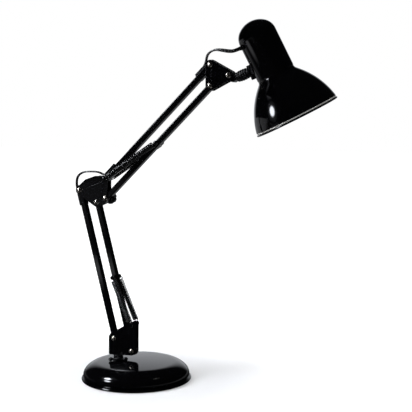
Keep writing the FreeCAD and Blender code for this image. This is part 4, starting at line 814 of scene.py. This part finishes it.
def stud_mesh(whole):
    """A pin that carries the springs: capped at both ends, or a stub on the outside of a plate."""
    end, cap, cap_radius, root = 13.6 * MM, 1.2 * MM, 3.4 * MM, 6 * MM
    rim = PIN_RADIUS + 0.2 * MM
    line = [(0, end), (rim, end)]
    line += eased([(rim, end), (cap_radius, end - 0.3 * MM), (cap_radius, end - cap),
                   (PIN_RADIUS, end - cap)], 0.3 * MM)[1:]
    foot = [(PIN_RADIUS, 0.0)] + mirrored(line) if whole else [(PIN_RADIUS, root), (0, root)]
    return spun(line + foot, steps=40)


class LAMP_OT_pivot_rings(bpy.types.Operator):
    """Turn the nylon washers, the clamp washers and the pins that carry the springs"""
    bl_idname = "lamp.pivot_rings"
    bl_label = "Washers and spring pins"

    def execute(self, context):
        outline = eased(in_mm([(2.05, 5), (5.4, 5), (5.4, 6), (2.05, 6)]), 0.2 * MM, wrap=True)
        for bracket, spots in (("lower", (LOWER_REAR, LOWER_FRONT)), ("elbow", (ELBOW_FRONT, KNOB_PIVOT)),
                               ("head", (HEAD_TOP, HEAD_LOW))):
            piece_on_pins(bracket + "_bushes", "cut", bracket + "_bracket",
                          spun(outline, steps=48, wrap=True),
                          [(spot, ACROSS * side) for spot in spots for side in (1, -1)], "nylon", "nylon")
        bore, edge = 2.05 * MM, 6 * MM
        outline = eased([(bore, PLATE_FACE), (edge, PLATE_FACE), (edge, WASHER_FACE),
                         (bore, WASHER_FACE)], 0.3 * MM, wrap=True)
        for bracket, spot in (("elbow", KNOB_PIVOT), ("head", STEM_PIVOT)):
            piece_on_pins(bracket + "_washer", "cut", bracket + "_bracket",
                          spun(outline, steps=48, wrap=True),
                          [(spot, ACROSS)], "zinc", "plain_steel")
        for node, body, spot, whole in (("lug_stubs", "lower_bracket", LUG, False),
                                        ("lower_spring_pin", "front_lower_arm", LOWER_PIN, True),
                                        ("elbow_spring_pin", "elbow_bracket", TOP_PIVOT, True),
                                        ("upper_spring_pin", "lower_upper_arm", UPPER_PIN, True)):
            sides = (1,) if whole else (1, -1)
            piece_on_pins(node, "turned", body, stud_mesh(whole), [(spot, ACROSS * side) for side in sides],
                          "enamel", "plain_steel")
        return {"FINISHED"}


class LAMP_OT_arms(bpy.types.Operator):
    """Dress the four square tubes and the plastic sleeves at their ends"""
    bl_idname = "lamp.arms"
    bl_label = "Arm tubes and sleeves"

    def execute(self, context):
        for node in ("rear_lower", "front_lower", "top_upper", "lower_upper"):
            new_piece(node + "_tube_drawn", softened(node + "_tube", 0.15 * MM), node + "_arm", "enamel",
                      "black_enamel", node + "_tube")
        for node, body in (("rear_lower_sleeve", "rear_lower_arm"), ("top_upper_sleeve_low", "top_upper_arm"),
                           ("top_upper_sleeve_high", "top_upper_arm")):
            new_piece(node + "_moulded", softened(node, 0.25 * MM), body, "enamel", "black_plastic", node)
        return {"FINISHED"}


def bridge(start, start_pull, end, end_pull):
    """Points on a smooth curve between two points, without its ends."""
    ends = (start, start + start_pull, end - end_pull, end)
    spots = []
    for i in range(1, 8):
        s = i / 8
        weights = ((1 - s) ** 3, 3 * s * (1 - s) ** 2, 3 * s * s * (1 - s), s ** 3)
        spots.append(sum((point * weight for point, weight in zip(ends, weights)), Vector()))
    return [tuple(spot) for spot in spots]


def spring_path(sizes, foot, tip, side):
    """The wire's path: end loop round the foot pin, coils, and the loop round the tip pin."""
    span = tip - foot
    along = span.normalized()
    over = ACROSS.cross(along)
    loop, coil, reach = sizes.eye_radius, sizes.coil_radius, sizes.eye_reach
    curls = round((span.length - 2 * reach) / sizes.pitch)
    pitch = (span.length - 2 * reach) / curls
    tail = 2 * sizes.wire_radius
    helix = [(coil * math.cos(turn), coil * math.sin(turn), reach + pitch * turn / (2 * math.pi))
             for turn in (2 * math.pi * i / 20 for i in range(20 * curls + 1))]
    pull = Vector((0, coil * 0.9, pitch * 0.2))
    rise = Vector((0, 0, reach * 0.55))
    path = [(tail, 0, loop)] + [(x, 0, z) for x, z in arc((0, 0), loop, 90, 360, 16)]
    path += bridge(Vector((loop, 0, 0)), rise, Vector(helix[0]), pull) + helix
    path += bridge(Vector(helix[-1]), pull, Vector((loop, 0, span.length)), rise)
    path += [(x, 0, span.length + z) for x, z in arc((0, 0), loop, 0, 270, 16)]
    path += [(tail, 0, span.length - loop)]
    middle = foot + ACROSS * side * sizes.offset
    return [middle + over * x + ACROSS * y + along * z for x, y, z in path]


class LAMP_OT_springs(bpy.types.Operator):
    """Wind the four close-wound tension springs with their end loops"""
    bl_idname = "lamp.springs"
    bl_label = "Springs"

    def execute(self, context):
        sizes = context.scene.lamp_springs
        for node, bodies, foot, tip in (
                ("lower_springs", ("lower_bracket", "front_lower_arm"), LUG, LOWER_PIN),
                ("upper_springs", ("elbow_bracket", "lower_upper_arm"), TOP_PIVOT, UPPER_PIN)):
            mesh = wires([spring_path(sizes, foot, tip, side) for side in (-1, 1)], sizes.wire_radius, 8,
                         "spring")
            inwards = (tip - foot).normalized() * 6 * MM
            new_piece(node + "_wound", mesh, (*bodies, foot + inwards, tip - inwards), None,
                      "spring_steel", node)
        return {"FINISHED"}


def grommet_place(head):
    """The grommet's place on the head, its Z axis outwards, and the direction of its cores."""
    turn = Matrix.Rotation(head.grommet_bearing, 4, "Z") @ about_y(90)
    return HEAD @ Matrix.Translation((0, 0, head.grommet_height)) @ turn, HEAD.to_3x3() @ UP


def flex_route(sizes, head):
    """Each station: point, direction in which the cores lie apart, distance from the middle."""
    half, deep, lifted = sizes.spacing / 2, sizes.in_tube, sizes.on_tube
    lower_end, upper_end = (ELBOW_REAR - LOWER_REAR).length, (HEAD_TOP - TOP_PIVOT).length
    place, turn = grommet_place(head)
    outward = place.to_3x3() @ UP

    def on_lower(distance, lift):
        return LOWER_REAR + LOWER * distance + LOWER.cross(ACROSS) * lift

    def on_upper(distance, lift):
        return TOP_PIVOT + UPPER * distance + UPPER.cross(ACROSS) * lift

    def near(spot, x, z, y=0.0):
        return spot + Vector((x, y, z)) * MM

    side_by_side = [
        on_lower(12 * MM, deep), on_lower(lower_end - 26 * MM, deep), on_lower(lower_end - 12 * MM, lifted),
        on_lower(lower_end + 9.5 * MM, lifted + 0.8 * MM),
        near(ELBOW_REAR, -8.5, 24), near(ELBOW_REAR, 4, 32.4), near(ELBOW_REAR, 22, 33.4),
        near(TOP_PIVOT, -16, 11.5),
        on_upper(1 * MM, lifted), on_upper(13 * MM, lifted), on_upper(27 * MM, deep),
        on_upper(upper_end - 33 * MM, deep), on_upper(upper_end - 20 * MM, lifted),
        on_upper(upper_end - 7 * MM, lifted + 1.3 * MM), near(HEAD_TOP, -8, 18.4)]
    return [(spot, ACROSS, half) for spot in side_by_side] + [
        (near(HEAD_TOP, 6, 24.4, -1.5), ACROSS + UP * 0.3, 1.5 * MM),
        (near(HEAD_TOP, 19, 23.0, -5), ACROSS + UP * 0.7, 2.1 * MM),
        (near(HEAD_TOP, 37, 19.6, -14), ACROSS + UP, 2.2 * MM),
        (place.translation + outward * (head.housing_radius + 14.5 * MM), turn, half),
        (place.translation + outward * (head.housing_radius - 7 * MM), turn, half)]


def core_line(route, side):
    """Points along one core: the smooth line that the route's stations pull along."""
    curve = bpy.data.curves.new("core_line", "CURVE")
    curve.dimensions = "3D"
    spline = curve.splines.new("NURBS")
    spline.points.add(len(route) - 1)
    for control, (spot, apart, distance) in zip(spline.points, route):
        control.co = (*(spot + apart.normalized() * side * distance), 1)
    spline.order_u = 3
    spline.use_endpoint_u = True
    spline.resolution_u = 24
    return [vertex.co.copy() for vertex in baked(in_scene("core_line", curve)).vertices]


class LAMP_OT_flex(bpy.types.Operator):
    """Lead the two-core flex through the tubes, round the elbow and to the lamp housing"""
    bl_idname = "lamp.flex"
    bl_label = "Flex"

    def execute(self, context):
        sizes = context.scene.lamp_flex
        route = flex_route(sizes, context.scene.lamp_head)
        cores = [core_line(route, side) for side in (-1, 1)]

        def cut(line, run):
            """Point and place in the line where the middle of that run lies."""
            place = (len(line) - 1) * run / (len(route) - 2)
            low = min(int(place), len(line) - 2)
            return line[low].lerp(line[low + 1], place - low), place

        for node, bodies, first, last in (
                ("cable_lower", "rear_lower_arm", 0, 2),
                ("cable_elbow_rear", ("rear_lower_arm", "elbow_bracket"), 2, 5),
                ("cable_elbow_front", ("elbow_bracket", "top_upper_arm"), 5, 8),
                ("cable_upper", "top_upper_arm", 8, 12),
                ("cable_head_rear", ("top_upper_arm", "head_bracket"), 12, 14),
                ("cable_head_middle", ("head_bracket", "knuckle"), 14, 16),
                ("cable_head_front", ("knuckle", "head"), 16, 18)):
            paths = []
            for line in cores:
                (start, low), (end, high) = cut(line, first), cut(line, last)
                paths.append([start] + line[math.floor(low) + 1:math.ceil(high)] + [end])
            if not isinstance(bodies, str):
                bodies = (*bodies, route[first][0], route[last + 1][0])
            new_piece(node + "_flex", wires(paths, sizes.core_radius, 12, "sheath"), bodies, None,
                      "cable_sheath", node)
        return {"FINISHED"}


def knob_mesh():
    """The tension knob: a thick disc with six grooves round it and a dished face."""
    lobes, radius, depth, groove = 6, 11.0, 1.3, 0.17
    place = Matrix.Translation(KNOB_PIVOT + ACROSS * (WASHER_FACE + 0.03 * MM))
    place = place @ Matrix.Rotation(-math.pi / 2, 4, "X")

    def ring(share, height, grooved=1.0):
        def reach(turn):
            swing = (turn * lobes / (2 * math.pi)) % 1.0
            near = min(swing, 1 - swing) * 2 * math.pi / lobes
            return (radius - depth * grooved * math.exp(-(near / groove) ** 2)) * share * MM
        return circle(reach, height * MM, 144, place)

    stations = [(0.3, 0, 0), (0.9, 0), (0.955, 0.25), (0.985, 0.8), (1.0, 1.6), (1.0, 5.8), (0.985, 6.7),
                (0.95, 7.4), (0.9, 7.85), (0.82, 8.0), (0.62, 8.0, 0.3), (0.56, 7.75, 0), (0.52, 7.3, 0),
                (0.3, 7.2, 0)]
    back, face = [place @ Vector((0, 0, height * MM)) for height in (0, stations[-1][1])]
    return loft([[back]] + [ring(*station) for station in stations] + [[face]], sharp=60)


class LAMP_OT_knob(bpy.types.Operator):
    """Mould the lobed tension knob at the elbow and dress the wing nut at the head"""
    bl_idname = "lamp.knob"
    bl_label = "Tension knob and wing nut"

    def execute(self, context):
        new_piece("knob_moulded", knob_mesh(), "elbow_tension_knob", "plastic", "black_plastic", "elbow_knob")
        new_piece("wing_nut_cast", softened("head_wing_nut", 0.8 * MM, 3), "head_tension_nut", "plastic",
                  "black_plastic", "head_wing_nut")
        return {"FINISHED"}


def boot_mesh():
    """The boot round the stem: six ribs on a sleeve that swells in its middle."""
    bore, hem, start, run, end, swell, ribs, depth = 4.05, 6.0, 10, 24.6, 7.6, 1.6, 6, 0.9
    outline = [(bore, start), (hem, start)]
    steps = ribs * 10
    for i in range(steps + 1):
        share = i / steps
        crest = 0.5 - 0.5 * math.cos(2 * math.pi * ribs * share)
        reach = end + swell * (1 - (2 * share - 1) ** 2) - depth + depth * crest ** 0.6
        outline.append((reach, start + run * share))
    outline += [(hem, start + run), (bore, start + run)]
    return spun(in_mm(outline), Matrix.Translation(STEM_FOOT) @ STEM_TURN, wrap=True, sharp=60)


class LAMP_OT_knuckle(bpy.types.Operator):
    """Dress the stem, its nut and the housing's clip, and mould the ribbed boot"""
    bl_idname = "lamp.knuckle"
    bl_label = "Stem, boot and clip"

    def execute(self, context):
        for name, mesh, body, finish, slot, node in (
                ("stem_turned", softened("knuckle_stem", 0.4 * MM), "knuckle", "enamel", "plain_steel",
                 "knuckle_stem"),
                ("boot_moulded", boot_mesh(), "knuckle", "rubber", "black_plastic", "knuckle_boot"),
                ("stem_nut", softened("knuckle_nut", 0.3 * MM), "knuckle", "zinc", "plain_steel",
                 "knuckle_nut"),
                ("clip_folded", softened("housing_clip", 0.3 * MM), "head", "enamel", "black_enamel",
                 "housing_clip")):
            new_piece(name, mesh, body, finish, slot, node)
        return {"FINISHED"}


def shade_skin(head, inset):
    """One skin of the shade in its own frame: the stepped band at its edge, and the line above."""
    low, foot_turn, end_turn = -head.rim_drop, math.radians(11.9), math.radians(44)
    bend, band, slant, step = 10 * MM, 3.4 * MM, 3.9 * MM, 0.9 * MM
    foot = (head.rim_radius - bend, low + band)
    foot_spot = (foot[0] + bend * math.cos(foot_turn), foot[1] + bend * math.sin(foot_turn))
    bell = (foot_spot[0] - head.bell_round * math.cos(foot_turn),
            foot_spot[1] - head.bell_round * math.sin(foot_turn))
    top = (bell[0] + head.bell_round * math.cos(end_turn), bell[1] + head.bell_round * math.sin(end_turn))
    slanted = (top[0] - slant * math.tan(end_turn), top[1] + slant)
    throat = (slanted[0] + head.throat_round * math.cos(end_turn),
              slanted[1] + head.throat_round * math.sin(end_turn))
    # the band under the bell steps in, and the bead is rolled on its edge
    radius = head.rim_radius - step - inset
    edge = [(radius, low), (radius, low + 1.6 * MM), (radius + 0.15 * MM, low + 2.0 * MM),
            (head.rim_radius - inset - 0.2 * MM, low + 2.8 * MM)]
    line = arc(foot, bend - inset, 0, math.degrees(foot_turn), 4)
    line += arc(bell, head.bell_round - inset, math.degrees(foot_turn), math.degrees(end_turn), 26)[1:]
    return edge, line + arc(throat, head.throat_round + inset, 180 + math.degrees(end_turn), 180, 8)


class LAMP_OT_shade(bpy.types.Operator):
    """Spin the bell shade with its white lining and rolled rim"""
    bl_idname = "lamp.shade"
    bl_label = "Shade"

    def execute(self, context):
        head = context.scene.lamp_head
        (outer_edge, outer), (inner_edge, inner) = shade_skin(head, 0), shade_skin(head, head.wall)
        neck, spigot = outer[-1][1], head.housing_radius - head.wall - 0.05 * MM
        collar = [(spigot, neck + 0.4 * MM), (spigot, neck + 7 * MM), (spigot - head.wall, neck + 7 * MM)]
        # the white lining is sprayed round the edge, as far as the top of the band
        lines = outer + collar + (inner_edge + inner)[::-1] + outer_edge
        mesh = spun(lines, HEAD, 176, wrap=True, lining=(len(outer) + 2, len(lines) - 1), sharp=50)
        for finish in ("enamel", "lining"):
            mesh.materials.append(FINISHES[finish])
        new_piece("shade_spun", mesh, "head", None, "black_enamel", "shade")
        rim = arc((head.rim_radius - head.wall / 2, -head.rim_drop), 1.6 * MM, 0, 360, 14)[:-1]
        new_piece("shade_bead", spun(rim, HEAD, 176, wrap=True, sharp=60), "head", "enamel",
                  "black_enamel", "shade_rim")
        return {"FINISHED"}


def housing_mesh(head):
    """The lamp housing: a thin cup over the shade's neck, with a rounded top."""
    low = shade_skin(head, 0)[1][-1][1]
    top, shoulder_angle = low + head.housing_straight, 50
    turn = math.radians(shoulder_angle)
    shoulder = (head.housing_radius - head.housing_shoulder, top)
    crown_round = (shoulder[0] + head.housing_shoulder * math.cos(turn)) / math.cos(turn)
    crown = top + (head.housing_shoulder - crown_round) * math.sin(turn)

    def skin(inset):
        line = [(head.housing_radius - inset, low), (head.housing_radius - inset, top)]
        line += arc(shoulder, head.housing_shoulder - inset, 0, shoulder_angle, 12)[1:]
        return line + arc((0, crown), crown_round - inset, shoulder_angle, 90, 10)[1:]

    outer, inner = skin(0), skin(head.wall)
    edge = eased([outer[1], outer[0], inner[0], inner[1]], 0.35 * MM)[1:-1]
    return spun(outer[:0:-1] + edge + inner[1:], HEAD, 176, sharp=50)


def grommet_mesh(head):
    """The cable grommet, through the housing's wall, with a flange and a short neck."""
    wall = head.housing_radius
    line = [(radius, wall + height) for radius, height in in_mm([
        (0, -2.5), (3.15, -2.5), (3.15, 0.2), (4.2, 0.6), (4.1, 1.6), (3.5, 2.0), (3.4, 5.5), (0, 5.5)])]
    return spun(eased(line, 0.5 * MM), grommet_place(head)[0], 48, sharp=50)


class LAMP_OT_housing(bpy.types.Operator):
    """Spin the lamp housing and mould the cable grommet"""
    bl_idname = "lamp.housing"
    bl_label = "Lamp housing"

    def execute(self, context):
        head = context.scene.lamp_head
        new_piece("housing_spun", housing_mesh(head), "head", "enamel", "black_enamel", "lamp_housing")
        new_piece("grommet_moulded", grommet_mesh(head), "head", "plastic", "black_plastic", "cable_grommet")
        return {"FINISHED"}


def holder_mesh():
    line = in_mm([(13.85, -6), (20, -6), (20, -3), (18.5, -3), (18.5, 25), (11.5, 34), (5, 34), (5, 28),
                  (5, 18), (13.85, 18)])
    return spun(eased(line, 0.5 * MM, wrap=True), HEAD, 72, wrap=True)


def thread_mesh():
    """The screw shell: a rolled thread of 3.6 mm from crest to crest, and a turned-in end."""
    steps, rows, low, high, pitch, wave, sheet = 72, 48, -4.0, 14.0, 3.6, 0.35, 0.3

    def rolled(skin):
        rings = []
        for row in range(rows + 1):
            height = low + (high - low) * row / rows
            fade = max(0.0, min(1.0, (height - low) / 2, (high - height) / 2))

            def reach(turn):
                crest = 0.5 - 0.5 * math.cos(2 * math.pi * height / pitch - turn)
                return (13.3 + skin * 0.9 + wave * 0.5 * crest * fade) * MM
            rings.append(circle(reach, height * MM, steps, HEAD))
        return rings

    end = [circle(radius, height, steps, HEAD) for radius, height in in_mm([
        (9.5, 18.0), (6.0, 18.0), (6.0, 17.5), (9.0, 17.5)])]
    return loft(rolled(sheet) + end + rolled(0.0)[::-1], wrap=True, sharp=50)


class LAMP_OT_holder(bpy.types.Operator):
    """Mould the lamp holder, roll its thread and fit contact, nipple and bridge plate"""
    bl_idname = "lamp.holder"
    bl_label = "Lamp holder"

    def execute(self, context):
        new_piece("holder_moulded", holder_mesh(), "head", "holder", "holder_plastic", "lamp_holder")
        new_piece("thread_rolled", thread_mesh(), "head", "brass", "brass", "holder_thread")
        line = eased(in_mm([(0, 15), (1.6, 15.1), (3, 15.8), (3, 18), (0, 18)]), 0.3 * MM)
        new_piece("contact_spring", spun(line, HEAD, 32), "head", "brass", "brass", "holder_contact")
        for name, node, width in (("nipple_turned", "holder_nipple", 0.3),
                                  ("bridge_pressed", "holder_bridge", 0.2)):
            new_piece(name, softened(node, width * MM), "head", "zinc", "plain_steel", node)
        return {"FINISHED"}


def facing(azimuth, elevation):
    """A direction, in degrees: azimuth 0 is the lamp's front, turning to the right."""
    turn, lift = math.radians(azimuth), math.radians(elevation)
    return Vector((math.sin(turn) * math.cos(lift), -math.cos(turn) * math.cos(lift), math.sin(lift)))


def aimed(spot, aim):
    away = (spot - aim).normalized()
    return Matrix.Translation(spot) @ away.to_track_quat("Z", "Y").to_matrix().to_4x4()


def emission(tree, code, strength):
    return add(tree, "ShaderNodeEmission", {"Color": linear(code), "Strength": strength})


def either(tree, test, otherwise, shader):
    """The second shader where the test is 1, and the first elsewhere."""
    return add(tree, "ShaderNodeMixShader", {0: test, 1: otherwise, 2: shader})


def combined(tree, operation, *values):
    """One value from several, by the same sum between each two."""
    total = values[0]
    for value in values[1:]:
        total = add(tree, "ShaderNodeMath", {0: total, 1: value}, operation=operation)
    return total


def near_to(tree, where, centre, before, after):
    """A value that changes smoothly with the distance from a point."""
    gap = add(tree, "ShaderNodeVectorMath", {0: where, 1: centre}, gives="Value", operation="DISTANCE")
    return mapped(tree, gap, before, after, "SMOOTHSTEP")


def painted_floor_reflection(tree, where, away):
    """How bright the floor looks in reflections. This is painted light and shade, not lit paint: dark in front of
    the lamp, pale behind it, and a painted shade round the base. A painted pool of light lies under the head, a
    painted bright spot in front to the left, and a wide faint painted glow far beyond it."""
    behind = add(tree, "ShaderNodeVectorMath", {0: where, 1: away}, gives="Value", operation="DOT_PRODUCT")
    # painted reflection: the floor glows pale behind the lamp and dark in front of it
    painted_glows = [mapped(tree, behind, (-0.1, 0.6), (0.015, 0.4), "SMOOTHSTEP")]
    for centre, reach, strength in (((0.45, 0, 0), (0.2, 0.5), 0.3), ((-0.84, -0.94, 0), (0.1, 0.45), 1.0),
                                    ((-2.1, -3.6, 0), (1.4, 2.6), 0.14)):
        painted_glows.append(near_to(tree, where, centre, reach, (strength, 0.0)))
    # painted shade: the floor's glow in reflections fades out round the base
    painted_base_shade = near_to(tree, where, (0, 0, 0), (0.11, 0.2), (0.0, 1.0))
    return combined(tree, "MULTIPLY", combined(tree, "MAXIMUM", *painted_glows), painted_base_shade)


def make_floor(studio):
    """Pale painted floor. To the camera it is white with a soft shadow round the base."""
    mesh = bpy.data.meshes.new("studio_floor")
    reach, below = 14, -0.0002
    mesh.from_pydata([(-reach, -reach, below), (reach, -reach, below), (reach, reach, below),
                      (-reach, reach, below)], [], [(0, 1, 2, 3)])
    floor = in_scene("studio_floor", mesh)
    material, tree = new_finish("painted_floor")
    where = add(tree, "ShaderNodeTexCoord", gives="Object")
    mottle = add(tree, "ShaderNodeTexNoise", {"Vector": where, "Scale": 3.0, "Detail": 2.0})
    shade = add(tree, "ShaderNodeMix", {
        "Factor": mottle, "A": linear("#c3c3c4"), "B": linear("#c8c8c8")}, data_type="RGBA")
    paint = add(tree, "ShaderNodeBsdfDiffuse", {"Color": shade})
    whiteness = near_to(tree, where, (0, 0, 0), (0.12, 0.42), (studio.near_glow, studio.floor_glow))
    seen = add(tree, "ShaderNodeAddShader", {0: paint, 1: emission(tree, "#ffffff", whiteness)})
    away = facing(math.degrees(studio.azimuth) + 180, 0)
    # in reflections the floor shows painted light and shade instead of its lit paint
    painted_floor_light = emission(tree, "#f4f6fa", painted_floor_reflection(tree, where, away))
    rays = add(tree, "ShaderNodeLightPath").node
    indirect = either(tree, rays.outputs["Is Glossy Ray"], paint, painted_floor_light)
    surface = either(tree, rays.outputs["Is Camera Ray"], indirect, seen)
    add(tree, "ShaderNodeOutputMaterial", {"Surface": surface})
    mesh.materials.append(material)


def make_world(studio):
    """White to the camera, and in reflections a dark room with one pale backdrop behind the lamp."""
    world = bpy.data.worlds.new("studio_world")
    world.use_nodes = True
    tree = world.node_tree
    tree.nodes.clear()
    behind = facing(math.degrees(studio.azimuth) - 178, 4)
    where = add(tree, "ShaderNodeTexCoord", gives="Generated")
    near = add(tree, "ShaderNodeVectorMath", {0: where, 1: behind}, gives="Value", operation="DOT_PRODUCT")
    edges = (math.cos(math.radians(34)), math.cos(math.radians(8)))
    backdrop = mapped(tree, near, edges, (0.006, studio.backdrop), "SMOOTHSTEP")
    rays = add(tree, "ShaderNodeLightPath").node
    mirrored_room = combined(tree, "MAXIMUM", rays.outputs["Is Glossy Ray"],
                             rays.outputs["Is Transmission Ray"])
    soft, pale, white = [add(tree, "ShaderNodeBackground", {"Color": linear(code), "Strength": strength})
                         for code, strength in (("#f4f6fa", studio.ambient), ("#f2f5fb", backdrop),
                                                ("#ffffff", 1.0))]
    indirect = either(tree, mirrored_room, soft, pale)
    surface = either(tree, rays.outputs["Is Camera Ray"], indirect, white)
    add(tree, "ShaderNodeOutputWorld", {"Surface": surface})
    bpy.context.scene.world = world


def studio_panel(name, mesh, spot, aim):
    """Hangs a panel in the studio, out of the camera's sight, and returns its empty material."""
    panel = in_scene(name, mesh)
    panel.matrix_world = aimed(spot, aim)
    panel.visible_camera = False
    material, tree = new_finish(name)
    mesh.materials.append(material)
    return tree


def flag(name, spot, aim, width, height):
    """A black panel that keeps light off what is behind it."""
    x, y = width / 2, height / 2
    mesh = bpy.data.meshes.new(name)
    mesh.from_pydata([(-x, -y, 0), (x, -y, 0), (x, y, 0), (-x, y, 0)], [], [(0, 1, 2, 3)])
    tree = studio_panel(name, mesh, spot, aim)
    add(tree, "ShaderNodeOutputMaterial", {"Surface": emission(tree, "#000000", 0.0)})


def softbox(name, spot, aim, radius, strength):
    """A round softbox, bright in its middle and fading to its edge."""
    tree = studio_panel(name, spun([(0, 0), (radius, 0)], steps=48), spot, aim)
    where = add(tree, "ShaderNodeTexCoord", gives="Object")
    core = near_to(tree, where, (0, 0, 0), (0.26 * radius, 0.5 * radius), (strength, strength / 70))
    halo = near_to(tree, where, (0, 0, 0), (0.35 * radius, radius), (1.0, 0.0))
    light = emission(tree, "#f3f7ff", combined(tree, "MULTIPLY", core, halo))
    add(tree, "ShaderNodeOutputMaterial", {"Surface": light})


def make_lights(studio):
    # a soft key low on the left, lighting the bell, with a flag that keeps it off the housing
    bell, dome = Vector((0.268, -0.051, 0.458)), Vector((0.22, -0.039, 0.579))
    softbox("key_softbox", bell + facing(-50, 10) * 1.3, bell, 0.4, studio.key_strength)
    flag("flag", dome + facing(-48, 5) * 0.1, dome, 0.1, 0.075)
    # a second one higher up, for the base, kept off the housing's dome by another flag
    base = Vector((-0.006, -0.088, 0.02))
    softbox("high_softbox", base + facing(-63, 50) * 1.9, base, 0.52, studio.key_strength * 1.6)
    flag("high_flag", dome + facing(-65, 31) * 0.07, dome, 0.055, 0.05)
    # a wide soft light from above, that no surface mirrors
    centre = Vector((0.12, -0.05, 0.3))
    top = bpy.data.lights.new("top_softbox", "AREA")
    top.shape = "RECTANGLE"
    top.size, top.size_y = 0.75, 0.6
    top.energy = studio.top_power
    top.color = (0.97, 0.985, 1.0)
    holder = in_scene("top_softbox", top)
    holder.matrix_world = aimed(centre + facing(-62, 54) * 1.9, centre)
    holder.visible_glossy = False


def make_camera(studio):
    data = bpy.data.cameras.new("photo_camera")
    data.lens = studio.lens
    data.sensor_width = 36
    camera = in_scene("photo_camera", data)
    back = facing(math.degrees(studio.azimuth), math.degrees(studio.elevation))
    right = (-back).cross(UP).normalized()
    above = right.cross(-back).normalized()
    turn = Matrix((right, above, back)).transposed() @ Matrix.Rotation(studio.roll, 3, "Z")
    camera.matrix_world = Matrix.Translation(Vector(studio.target) + back * studio.distance) @ turn.to_4x4()
    bpy.context.scene.camera = camera


class LAMP_OT_studio(bpy.types.Operator):
    """Set up the pale floor, the soft lights, the world and the camera"""
    bl_idname = "lamp.studio"
    bl_label = "Studio"

    def execute(self, context):
        for make in (make_camera, make_floor, make_world, make_lights):
            make(context.scene.lamp_studio)
        context.scene.view_settings.view_transform = "Standard"
        return {"FINISHED"}


class LAMP_PT_panel(bpy.types.Panel):
    """The lamp's pieces and their sizes"""
    bl_idname = "LAMP_PT_panel"
    bl_label = "Desk Lamp"
    bl_space_type = "VIEW_3D"
    bl_region_type = "UI"
    bl_category = "Desk Lamp"

    def draw(self, context):
        layout = self.layout
        for operator in PIECES:
            layout.operator(operator.bl_idname)
        for name in GROUPS:
            group = getattr(context.scene, name)
            box = layout.box()
            for key in group.__annotations__:
                box.prop(group, key)


PIECES = (
    LAMP_OT_finishes, LAMP_OT_base, LAMP_OT_socket, LAMP_OT_side_plates, LAMP_OT_rivets,
    LAMP_OT_pivot_rings, LAMP_OT_arms, LAMP_OT_springs, LAMP_OT_flex, LAMP_OT_knob,
    LAMP_OT_knuckle, LAMP_OT_shade, LAMP_OT_housing, LAMP_OT_holder, LAMP_OT_studio,
)
GROUPS = {
    "lamp_base": BaseSizes, "lamp_springs": SpringSizes, "lamp_flex": FlexSizes,
    "lamp_head": HeadSizes, "lamp_colours": FinishColours, "lamp_studio": StudioSettings,
}


def register():
    for kind in (*GROUPS.values(), *PIECES, LAMP_PT_panel):
        bpy.utils.register_class(kind)
    for name, group in GROUPS.items():
        setattr(bpy.types.Scene, name, PointerProperty(type=group))


def unregister():
    for name in GROUPS:
        delattr(bpy.types.Scene, name)
    for kind in reversed((*GROUPS.values(), *PIECES, LAMP_PT_panel)):
        bpy.utils.unregister_class(kind)


def main():
    register()
    bpy.ops.lamp.finishes()
    bpy.ops.lamp.base()
    bpy.ops.lamp.socket()
    bpy.ops.lamp.side_plates()
    bpy.ops.lamp.rivets()
    bpy.ops.lamp.pivot_rings()
    bpy.ops.lamp.arms()
    bpy.ops.lamp.springs()
    bpy.ops.lamp.flex()
    bpy.ops.lamp.knob()
    bpy.ops.lamp.knuckle()
    bpy.ops.lamp.shade()
    bpy.ops.lamp.housing()
    bpy.ops.lamp.holder()
    bpy.ops.lamp.studio()


if __name__ == "__main__":
    main()
